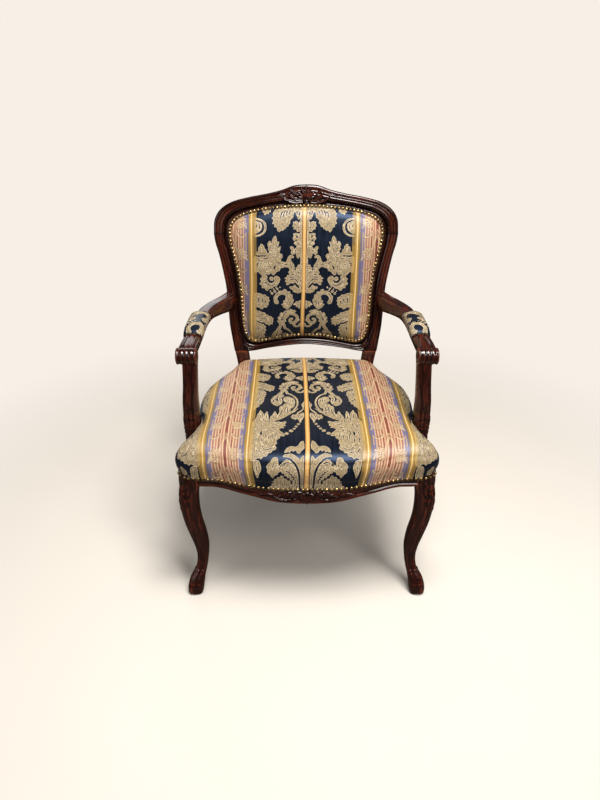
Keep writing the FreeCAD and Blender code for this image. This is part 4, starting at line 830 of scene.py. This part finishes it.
def rail(node, keep, carve=None):
    """A length of the seat frame, from its outer face to its inner one."""
    index = np.flatnonzero(keep)
    gap = np.flatnonzero(np.diff(index) > 1)
    if len(gap):
        index = np.roll(index, -gap[0] - 1)
    p, out = PLAN[index], PLAN_OUT[index]
    low = np.interp(np.abs(p[:, 0]), *RAIL_LOW)
    back = ease((p[:, 1] + 236) / 30)
    low = (low * (1 - back) + 354 * back)[:, None]
    o, share, lift = RAIL_SECTION.T
    z = low + lift + share * (RAIL_TOP - low)
    form = Form()
    form.rings(np.dstack([p[:, None] + out[:, None] * o[:, None], z]),
               grain=np.dstack([along(p)[:, None] + 0 * z, z, o + 0 * z]))
    if carve:
        carve(form)
    form.piece("wood_" + node, WOOD, node)


def shell(form):
    """The shell and leaf sprays carved at the middle of the front rail."""
    fan(form, rail_at, 369, -90, 24, (33, 31, 27, 22), 2.2, (4.8, 0.3), 6.0, 3)
    reliefs(form, rail_at, "3.6 7.5 0 3: 0 -7 371,0 0 372.5,0 7 371", ways=(1,))
    reliefs(form, rail_at, """5.4 5.5 3 3: 0 9 370,0 24 371,0 38 364,0 46 354/4.6 4.6 3 3: 0 30 372,0 48 371,0 66 364,
        0 78 360/4.2 4.4 4 3: 0 28 352,0 46 349,0 64 353,0 84 364/3.2 3.4 3 3: 0 82 365,0 100 368,0 120 365""")


rail("front_rail", (np.abs(PLAN_X) < 276) & (PLAN_Y < -200), shell)
rail("rear_rail", (np.abs(PLAN_X) < 176) & (PLAN_Y > 150))
for side, way in (("right", 1), ("left", -1)):
    rail("side_rail_" + side, (way * PLAN_X > 0) & (PLAN_Y > -218) & (PLAN_Y < 246))

# Front legs: cabriole, swelling into the knee block that follows the seat's corner
shape = section(56, 3.0)
turn = np.arctan2(shape[:, 1], shape[:, 0])
arc = PLAN[(PLAN_X > 268) & (PLAN_Y < -208)]
middle, inner = np.array((294.0, -236.0)), 22
block = []
for a in np.stack([np.cos(turn), np.sin(turn)], 1):
    # As far as the block's inner faces or the seat's corner, whichever is nearer
    reach = [inner / part for part in (-a[0], a[1]) if part > 1e-6]
    side, ahead = np.cross(arc - middle, a), (arc - middle) @ a
    cross = np.flatnonzero((side[:-1] * side[1:] <= 0) & (ahead[:-1] > 0))
    reach += [ahead[k] for k in cross[:1]]
    block.append(middle + a * (min(reach) + 0.4 if reach else 20))
rings, grain = [], []
for cx, cy, z, w, d in catmull(FRONT_LEG, 7):
    ring = (cx, cy) + shape * (w, d) / 2
    front = np.clip(-shape[:, 1] * 0.7 + shape[:, 0] * 0.7, 0, 1)
    ring += np.outer(front * 2.5 * np.exp(-((z - 16) / 13) ** 2), (0.7, -0.7))
    share = ease((z - 322) / 44)
    ring = ring * (1 - share) + np.array(block) * share
    rings.append(np.column_stack([ring, np.full(len(ring), z)]))
    grain.append(np.stack([np.full(len(turn), z), 22 * np.cos(turn), 22 * np.sin(turn)], 1))
knee = Form()
knee.rings(rings, grain=grain)
knee_at = ring_surface(np.array(rings))
facing = (0.7, -0.7, 0)
reliefs(knee, knee_at, """11 5.5 4 1: -62 0 398,-62 0 376,-60 0 346,-56 0 312/
    7.5 4.4 2 1: -57 0 318,-55 0 296,-53 0 268/5.2 3.6 1 1: -54 0 274,-52 0 254,-50 0 228""", ways=(1,), facing=facing)
for turn, wide in ((-92, 2.4), (-68, 1.8), (-34, 1.8), (-8, 2.4)):
    relief(knee, knee_at, [(turn, 372), (turn, 300), (turn, 170), (turn, 76)], wide, 2.6, facing=facing)
reliefs(knee, knee_at, """7 5 3 1: -62 7 394,-62 20 374,-62 28 348,-60 24 324/
    6 4.4 3 1: -62 22 397,-62 36 386,-62 45 368,-62 46 350/5 3.8 2 1: -60 9 336,-60 20 316,-58 22 292""", facing=facing)
for turn in (-100, -76, -52, -28, -4):
    relief(knee, knee_at, [(turn, 62), (turn - 2, 46), (turn, 20)], 4.0, 2.0, facing=facing)
    relief(knee, knee_at, [(turn - 3, 68), (turn, 66), (turn + 3, 64)], 2.6, 2.6, facing=facing)
knee.pair(WOOD, "front_leg")

# Arms, rolled over at the front and beaded round the roll; its section as half width and radius in shares
NOSE_AT = (299.0, -109.0, 647.0)
NOSE_RADIUS, NOSE_HALF = 21.0, 24.5
NOSE = rows("""0 1,0.16 0.97,0.24 0.92,0.3 0.97,0.45 1,0.6 0.98,0.74 0.93,0.8 0.93,0.84 0.99,0.93 1,1 0.97,1.05 0.86,
    1.05 0.72,1 0.66,0.97 0.5,1 0.34,1.08 0.3,1.07 0.2,1.02 0.16,1 0.1""", 2)


def arm_section(t):
    """An arm's section: flutes open towards the rolled end, ridges at the root."""
    uv = section(64, 3.2)
    on_top = np.clip(uv[:, 1], 0, 1) ** 2 * (np.abs(uv[:, 0]) < 0.86)
    front = np.clip((t - 0.74) / 0.1, 0, 1)
    root = np.clip((0.24 - t) / 0.1, 0, 1)
    flute = 0.5 - 0.5 * np.cos(uv[:, 0] * math.pi * 3.6)
    uv[:, 1] -= on_top * flute * (0.2 * front + 0.12 * root)
    return uv


def support_section(t):
    """A support's section: collars above its foot, a shallow flute down its front."""
    uv = section(48, 3.0)
    collar = sum(0.07 * math.exp(-((t - at) / 0.011) ** 2) for at in (0.19, 0.235, 0.955))
    hollow = np.exp(-(uv[:, 0] / 0.45) ** 2) * (uv[:, 1] > 0) * 0.10 * min(1, max(0, (t - 0.3) * 8))
    uv = uv * (1 + collar)
    uv[:, 1] -= hollow
    return uv


arm = Form()
rings, grain = swept(np.vstack([ARM[:8], ARM_END]), 9, arm_section)
arm.rings(rings, grain=grain)
turn = np.linspace(0, 2 * math.pi, 72, endpoint=False)
rings, grain = [], []
for x, r in np.vstack([NOSE[:0:-1] * (-1, 1), NOSE]) * (NOSE_HALF, NOSE_RADIUS):
    wheel = np.stack([np.full(72, x), r * np.cos(turn), r * np.sin(turn)], 1)
    rings.append(NOSE_AT + wheel)
    grain.append(np.stack([40 * turn, wheel[:, 0], np.full(72, r)], 1))
# The rolled end is darker overall through the darkening values
arm.rings(rings, grain=grain, stain=[np.full(72, 0.55)] * len(rings))
arm.pair(WOOD, "arm")

support = Form()
rings, grain = swept(ARM_SUPPORT, 9, support_section, upright=True)
support.rings(rings, grain=grain)
support_at = ring_surface(rings)
reliefs(support, support_at, """6 3.2 4 1: 90 8 436,90 20 462,90 26 496,90 18 524/
    5 3 3 1: 90 30 440,90 44 462,90 52 484""")
reliefs(support, support_at, "5.5 3.6 3 1: 90 0 438,90 0 470,90 0 508", ways=(1,))
support.pair(WOOD, "arm_support")


def pchip(t, xs, ys):
    """A smooth line through values that keeps their rises and falls."""
    h = np.diff(xs)
    d = np.diff(ys, axis=0) / h[:, None]
    m = np.zeros_like(ys)
    same = d[:-1] * d[1:] > 0
    w1, w2 = (2 * h[1:] + h[:-1])[:, None], (h[1:] + 2 * h[:-1])[:, None]
    m[1:-1] = np.where(same, (w1 + w2) / (w1 / np.where(same, d[:-1], 1) + w2 / np.where(same, d[1:], 1)), 0)
    m[0], m[-1] = d[0], d[-1]
    k = np.clip(np.searchsorted(xs, t) - 1, 0, len(h) - 1)
    s = ((t - xs[k]) / h[k])[:, None]
    hk = h[k][:, None]
    return ((1 + 2 * s) * (1 - s) ** 2 * ys[k] + s * (1 - s) ** 2 * hk * m[k]
            + s * s * (3 - 2 * s) * ys[k + 1] + s * s * (s - 1) * hk * m[k + 1])


# Seat cover: drawn in at the hem, rolled over the edge, crowned in the middle. Height over the crown,
# growth past the plan, share of the way out, share of the backward slope
SEAT_LOW = 376.2
HEM_BELOW = 4.6
SEAT_SECTIONS = rows("""-110.8 1.6 1 0,-89 1.9 1 0,-76 5.5 1 0.1,-60 7 1 0.4,-45 4 1 0.7,-31 -4 1 1,-19 -8 0.965 1,
    -10 -10 0.88 1,-4.5 -10 0.72 1,-1.5 -10 0.5 1,-0.4 -10 0.3 1,0 -10 0.12 1,0.1 -10 0 1""", 4) + (SEAT_CROWN, 0, 0, 0)


def nail_height(x, y):
    """Height of the seat's row of nails."""
    dip = 0.5 + 0.5 * np.cos(math.pi * np.minimum(np.abs(x) / 190, 1))
    return np.where(y > -214, 388.0, 388 - 7 * dip)


def seat_skin(count, columns, inset=0.0):
    """The cover's surface and each point's place on the flat cloth."""
    ring, out = outline(SEAT_EDGE, columns)
    key = along(SEAT_SECTIONS[:, :2] + np.outer(SEAT_SECTIONS[:, 2], (0, 290)))
    hem = nail_height(*ring.T) - HEM_BELOW
    skin = np.zeros((count, columns, 3))
    for i, (z, grow, share, lean) in enumerate(pchip(np.linspace(0, key[-1], count), key, SEAT_SECTIONS)):
        place = SEAT_MIDDLE + share * (ring + (grow - inset) * out - SEAT_MIDDLE)
        drop = (hem - SEAT_LOW) * max(0.0, 1 - (z - SEAT_LOW) / (SEAT_CROWN - SEAT_LOW) / 0.35)
        skin[i] = np.column_stack([place, z + drop + 0.01 * lean * place[:, 1] - inset])
    cloth = skin[..., :2].copy()
    for i in range(count - 2, -1, -1):
        step = skin[i] - skin[i + 1]
        far, flat = np.linalg.norm(step, axis=1), np.linalg.norm(step[:, :2], axis=1)
        way = np.where(flat[:, None] > 0.35 * far[:, None], step[:, :2] / np.maximum(flat, 1e-9)[:, None], out)
        cloth[i] = cloth[i + 1] + way * far[:, None]
    return skin, cloth


SUPPORT_Y, SUPPORT_SIDE = -100, 275.5
POST_Y, POST_SIDE = 243, 170


def press(skin):
    """Draws the seat's edge in round the arm supports and the rear posts."""
    x, y = skin[..., 0], skin[..., 1]
    side = np.abs(x)
    side = side - np.maximum(side - SUPPORT_SIDE, 0) * np.exp(-(np.maximum(np.abs(y - SUPPORT_Y) - 25, 0) / 7) ** 2)
    post = np.exp(-(np.maximum(POST_Y - y, 0) / 9) ** 2) * (side > 160)
    reach = np.where(post > 0.02, np.maximum(side - POST_SIDE, 0) * post, 0)
    skin[..., 0] = np.sign(x) * (side - reach * (y > 235))


def wander(values, size, seed):
    """Smooth random waves over a plane, as a hand-worked surface has."""
    rng = np.random.default_rng(seed)
    total = 0
    for k in range(10):
        way = rng.uniform(0, 2 * math.pi)
        pitch = size * rng.uniform(0.6, 1.8)
        run = values[..., 0] * math.cos(way) + values[..., 1] * math.sin(way)
        total += np.sin(run * 2 * math.pi / pitch + rng.uniform(0, 6.28))
    return total / 4


def cover(skin, fabric, **values):
    """A cover's form, with each point's place on the woven cloth and in its figures."""
    form = Form()
    values = {"fabric": fabric, **values}
    flat = {name: np.dstack([v, 0 * v[..., :1]]) if v.ndim > 2 else v for name, v in values.items()}
    form.rings(skin, caps=False, motif=motif_at(fabric), **flat)
    return form


def stuffing(skin, node):
    """The filling under a cover."""
    form = Form()
    form.rings(skin)
    form.piece("soft_" + node, STUFFING, node)


def moved(values, text):
    """Values led through a table of places and new values."""
    return np.interp(values, *rows(text, 2).T)


# Where each cover lies on the repeat of the woven cloth, in metres
SEAT_ON_CLOTH, BACK_ON_CLOTH, ARM_ON_CLOTH = (0, 0.40), (0, 0.335), (0.07, 0.52)
skin, cloth = seat_skin(170, 880)
skin[..., 2] += 0.8 * wander(skin, 180.0, 3) * np.clip((skin[..., 2] - 450) / 20, 0, 1)
press(skin)
fabric = cloth * 0.001 + SEAT_ON_CLOTH
fabric[..., 0] -= moved(cloth[..., 1], """-370 -0.0022,-320 -0.001,-270 0.0008,-220 0.0014,-170 0.0006,-70 0,30 -0.0012,
    130 -0.003,180 -0.004,230 -0.006""")
# Painted shade along the seat's hem, at and below the row of nails
hem = np.clip((nail_height(skin[..., 0], skin[..., 1]) + 3.5 - skin[..., 2]) / 2.5, 0, 1)
seat = cover(skin, fabric, grain=cloth, hem=hem).piece("cloth_seat_cover", DAMASK, "seat_cover")
stuffing(seat_skin(30, 160, inset=4.0)[0][4:], "seat_stuffing")

# Back covers: depth behind the frame's front and share of the way out
BACK_SECTIONS = rows("0 0 1,-0.4 0 0.95,-7 0 0.915,0 0.55 0.83,0 0.82 0.65,0 0.96 0.4,0 1 0.12,-0.1 1 0", 3)
BACK_SECTIONS = np.column_stack([FLANGE + BACK_SECTIONS[:, 0] - BACK_CROWN * BACK_SECTIONS[:, 1], BACK_SECTIONS[:, 2]])
REAR_SECTIONS = rows("26.3 0.998,26.9 0.94,29.5 0.88,30.7 0.5,30.8 0", 2)


def back_skin(table, count, columns, inset=0.0):
    """The back panel's crowned surface and its places on the flat cloth."""
    ring, _ = outline(PANEL_EDGE, columns)
    key = along(table * (1, 210))
    depth, share = pchip(np.linspace(0, key[-1], count), key, table).T[..., None]
    cloth = PANEL_MIDDLE + share[..., None] * (ring - PANEL_MIDDLE)
    return raked(cloth[..., 0], depth + inset, cloth[..., 1]), cloth


skin, cloth = back_skin(BACK_SECTIONS, 110, 680)
across = cloth[..., 0] * 0.001 - moved(cloth[..., 1], """50 -0.0112,80 -0.011,136 -0.0097,164 -0.0083,192 -0.0071,
    220 -0.0064,248 -0.0061,276 -0.0056,304 -0.0052,332 -0.0052,360 -0.0046,416 -0.0041""")
across = np.sign(across) * moved(np.abs(across), "0 0,0.11 0.11,0.137 0.1315,0.1505 0.1435,0.24 0.228")
up = moved(cloth[..., 1] * 0.001 + BACK_ON_CLOTH[1], """0.36 0.341,0.394 0.375,0.41 0.392,0.459 0.454,0.496 0.498,
    0.531 0.534,0.56 0.56,0.8 0.8""")
out = np.linalg.norm(cloth - PANEL_MIDDLE, axis=2)
# The hem values paint shade along the back panel's outer edge, under the nails
back = cover(skin, np.dstack([across, up]), grain=cloth, hem=np.clip((out / out[0] - 0.955) / 0.012, 0, 1))
back.piece("cloth_back_cover", DAMASK, "back_cover")
stuffing(back_skin(BACK_SECTIONS, 24, 140, inset=2.5)[0][3:], "back_stuffing")
skin, cloth = (part[:, ::-1] for part in back_skin(REAR_SECTIONS, 40, 400))
rear = cover(skin, cloth * 0.001 + BACK_ON_CLOTH, grain=cloth)
rear.piece("cloth_outside_back", DAMASK, "outside_back_cover")


# Arm pads, swollen round the arms, and their covers
PAD_FROM, PAD_LONG, PAD_SIDE, PAD_TOP = -28, 150, 4, 17


def pad_rings(count, columns, extra):
    """Sections of an arm pad along the arm, and how far along it each one is."""
    line = catmull(ARM, 12)
    ahead = unit(np.gradient(line[:, :3], axis=0))
    side = unit(np.cross(ahead, (0, 0, 1)))
    table = np.hstack([line, side, np.cross(side, ahead)])
    shape = section(columns, 2.5)
    rings, walk = [], []
    for t in 0.5 - 0.5 * np.cos(np.linspace(0, math.pi, count)):
        y = PAD_FROM - extra + t * (PAD_LONG + 2 * extra)
        swell = max(min(1.0, (4.6 * min(t, 1 - t)) ** 0.5), 0.12) * (1 + 0.05 * math.sin(math.pi * t))
        row = np.array([np.interp(-y, -line[:, 1], column) for column in table.T])
        at, (wide, high), a, b = row[:3], row[3:5], row[5:8], row[8:]
        wide += 2 * (PAD_SIDE * swell + extra)
        top, low = high / 2 + PAD_TOP * swell + extra, -0.15 * high
        middle = at + b * (top + low) / 2
        rings.append(middle + np.outer(shape[:, 0] * wide / 2, a) + np.outer(shape[:, 1] * (top - low) / 2, b))
        walk.append(y)
    return np.array(rings), np.array(walk)


rings, walk = pad_rings(70, 96, 1.3)
around = np.array([along(np.vstack([r, r[:1]]))[:-1] for r in rings])
around = around - around[:, 24:25]
fabric = np.dstack([around, walk[:, None] + 0 * around]) * 0.001 + ARM_ON_CLOTH
arm_cover, pad = cover(rings, fabric), Form()
pad.rings(pad_rings(24, 40, -1.2)[0])
for side in ("right", "left"):
    pad.piece("soft_arm_pad_" + side, STUFFING, "arm_pad_" + side)
    piece = arm_cover.piece("cloth_arm_cover_" + side, DAMASK, "arm_cover_" + side)
    pad, arm_cover = pad.mirrored(), arm_cover.mirrored()


# Brass nails: domed heads round the back panel and along the seat's hem
def nail_heads(node, spots):
    """Domed heads, each on its place with its way out and a little of its own."""
    rng = np.random.default_rng(5)
    form = Form()
    turn = np.linspace(0, 2 * math.pi, 14, endpoint=False)
    for place, out, across in spots:
        out = unit(unit(np.array(out)) + rng.normal(0, 0.03, 3))
        across = unit(across - out * (across @ out))
        wheel = np.outer(np.cos(turn), across) + np.outer(np.sin(turn), np.cross(out, across))
        form.rings([place + out * h + r * wheel for r, h in NAIL_DOME])
    form.piece("metal_" + node, BRASS, node)


NAIL_DOME = rows("4.4 -0.8,4.4 0.2,4.15 1.3,3.5 2.3,2.5 3,1.3 3.4,0.25 3.5", 2)
ring, out = outline(PANEL_EDGE, 2740)
place = (ring - out * NAIL_RADIUS)[::20]
heads = raked(place[:, 0], FLANGE - 0.2, place[:, 1])
nail_heads("back_nails", [(head, (0, -math.cos(RAKE), math.sin(RAKE)), np.array((1.0, 0, 0))) for head in heads])
ring, out = outline(SEAT_EDGE, 3400)
spots = []
for (x, y), way in zip((ring + 1.8 * out)[::19], out[::19]):
    if not ((abs(x) > 163 and y > 231) or (abs(x) > 252 and abs(y - SUPPORT_Y) < 34)):
        spots.append((np.array((x, y, nail_height(x, y))), (*way, 0.0), np.array((0, 0, 1.0))))
nail_heads("seat_nails", spots)


# Webs, canvases and the cloth under the seat
WEB_WIDTH, WEB_RISE, WEB_BED = 50, 1.55, 0.75
SLOPE_FROM, SLOPE_TO = 34, 27


def webs(node, places, ends, crossings, first, low, lift):
    """Straps side by side, each rising over every other one that crosses it."""
    form = Form()
    for i, (place, (start, end)) in enumerate(zip(places, ends)):
        line = [(start, low)]
        for other in crossings[(i + first) % 2::2]:
            line += [(other - SLOPE_FROM, low), (other - SLOPE_TO, low + WEB_RISE),
                     (other + SLOPE_TO, low + WEB_RISE), (other + SLOPE_FROM, low)]
        line = np.array(line + [(end, low)])
        walk = along(line)
        run, height = (np.interp(np.linspace(0, 1, 60) * walk[-1], walk, column) for column in line.T)
        across = [np.full(60, place + w) for w in np.linspace(-WEB_WIDTH / 2, WEB_WIDTH / 2, 5)]
        form.rings([lift(a, run, height) if node.endswith("long") else lift(run, a, height) for a in across],
                   closed=False, caps=False)
    form.piece("cloth_" + node, WEBBING, node)


def seat_lift(x, y, z):
    return np.stack([x, y, z], -1)


def back_lift(x, h, n):
    return raked(x, 6 - n, h)


ups, acrosses = (-135, -45, 45, 135), (-160, -75, 10, 95)
webs("seat_webbing_long", ups, [(y, 260) for y in (-288, -296, -296, -288)], acrosses, 0, RAIL_TOP + WEB_BED, seat_lift)
webs("seat_webbing_cross", acrosses, [(-x, x) for x in (290, 281, 285, 274)], ups, 1, RAIL_TOP + WEB_BED, seat_lift)
ups, acrosses = (-100, 0, 100), (130, 240, 350)
webs("back_webbing_long", ups, [(37, 427), (49, 432), (37, 427)], acrosses, 0, WEB_BED, back_lift)
webs("back_webbing_cross", acrosses, [(-x, x) for x in (195, 205, 224)], ups, 1, WEB_BED, back_lift)


def canvas(node, kind, edge, middle, share, lift):
    """A flat cloth tacked to the frame; lift gives its points from the plan and the way out."""
    ring, _ = outline(edge, 160)
    form = Form()
    form.rings([lift(*(middle + share * t * (ring - middle)).T, t) for t in np.linspace(1, 0, 14)], caps=False)
    form.piece("cloth_" + node, kind, node)


canvas("seat_hessian", HESSIAN, SEAT_EDGE, SEAT_MIDDLE, 0.95,
       lambda x, y, t: seat_lift(x, y, 0 * x + RAIL_TOP + 3.55))
canvas("back_hessian", HESSIAN, PANEL_EDGE, PANEL_MIDDLE, 0.97,
       lambda x, h, t: raked(x, 2.4, h))
DUST_Z, DUST_SAG = 353.4, 3.0
canvas("dust_cover", BLACK, SEAT_EDGE, SEAT_MIDDLE, 0.925,
       lambda x, y, t: seat_lift(x, y, 0 * x + DUST_Z - DUST_SAG * (1 - t * t)))

# What stays as the construction has it, hidden inside the frame
for node in ("frame_dowels", "corner_braces"):
    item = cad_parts[node]
    item.data.materials.clear()
    item.data.materials.append(BEECH[0])

# Studio: soft lights over a pale floor that fades into the paper behind
PAPER = "f8f0e7"
for name, place, aim, size, power, colour in (
        ("light_key", (1.5, -2.1, 2.6), (0, 0, 0.5), (1.0, 1.0), 34, (1.0, 0.985, 0.96)),
        ("light_rear", (-0.7, 2.6, 1.9), (0, 0, 0.5), (1.6, 1.6), 16, (1.0, 1.0, 1.0)),
        ("light_fill", (-2.3, -1.6, 1.7), (0, 0, 0.5), (1.2, 1.8), 15, (0.96, 0.98, 1.0)),
        ("light_top", (0.4, -0.75, 3.0), (0, -0.1, 0.4), (1.1, 1.1), 132, (1.0, 0.99, 0.97))):
    light = bpy.data.lights.new(name, "AREA")
    light.shape = "RECTANGLE"
    light.size, light.size_y = size
    light.energy, light.color = power, colour
    item = placed(name, light)
    item.location = place
    heading = np.array(place) - np.array(aim)
    item.rotation_euler = (math.acos(heading[2] / np.linalg.norm(heading)), 0, math.atan2(heading[0], -heading[1]))

n = Nodes("paper_floor")
place = n.new("NewGeometry", out="Position")
far = n.new("VectorMath", {0: n.scaled(place, (1, 1, 0))}, out="Value", operation="LENGTH")
mirrored = n.new("LightPath", out="Is Glossy Ray")
paper = n.mix(n.noise(place, (1, 1, 1), 3.0, 3.0), "cac2b8", "cec6bc")
n.finish(Base_Color=n.mix(mirrored, paper, "4a4038"), Roughness=0.85,
         Normal=n.bump(n.noise(place, (1, 1, 1), 400.0, 3.0), 0.02, 0.001))
glow = n.new("Emission", {"Color": PAPER, "Strength": n.between(mirrored, 0.0, 1.0, 1.0, 0.06)})
blend = n.new("MixShader", {0: n.between(far, 0.65, 1.7), 1: n.nodes["Principled BSDF"].outputs[0], 2: glow})
n.put(blend, n.nodes["Material Output"].inputs["Surface"])
bpy.ops.mesh.primitive_circle_add(vertices=96, radius=9, fill_type="NGON", location=(0, 0, 0))
floor = bpy.context.object
floor.name = "floor"
floor.data.materials.append(n.owner)

n = Nodes("studio", bpy.data.worlds)
bpy.context.scene.world = n.owner
lit, seen = n.nodes["Background"], n.new("Background", {0: PAPER})
n.put((1.0, 0.98, 0.95, 1), lit.inputs[0])
n.put(n.new("MapRange", {0: n.new("LightPath", out="Is Glossy Ray"), 3: 0.2, 4: 0.07}), lit.inputs[1])
choose = n.new("MixShader", {0: n.new("LightPath", out="Is Camera Ray"), 1: lit.outputs[0], 2: seen})
n.put(choose, n.nodes["World Output"].inputs["Surface"])

# The camera stands where the photo's stood; its tilt is in degrees
CAMERA_AT, CAMERA_TILT = (-0.01768, -1.50996, 1.28155), 61.084
LENS, SENSOR = 27.36, 36
camera = bpy.data.cameras.new("camera")
camera.lens, camera.sensor_width = LENS, SENSOR
view = placed("camera", camera)
view.location = CAMERA_AT
view.rotation_euler = (math.radians(CAMERA_TILT), 0, 0)
bpy.context.scene.camera = view
bpy.context.scene.view_settings.view_transform = "Standard"
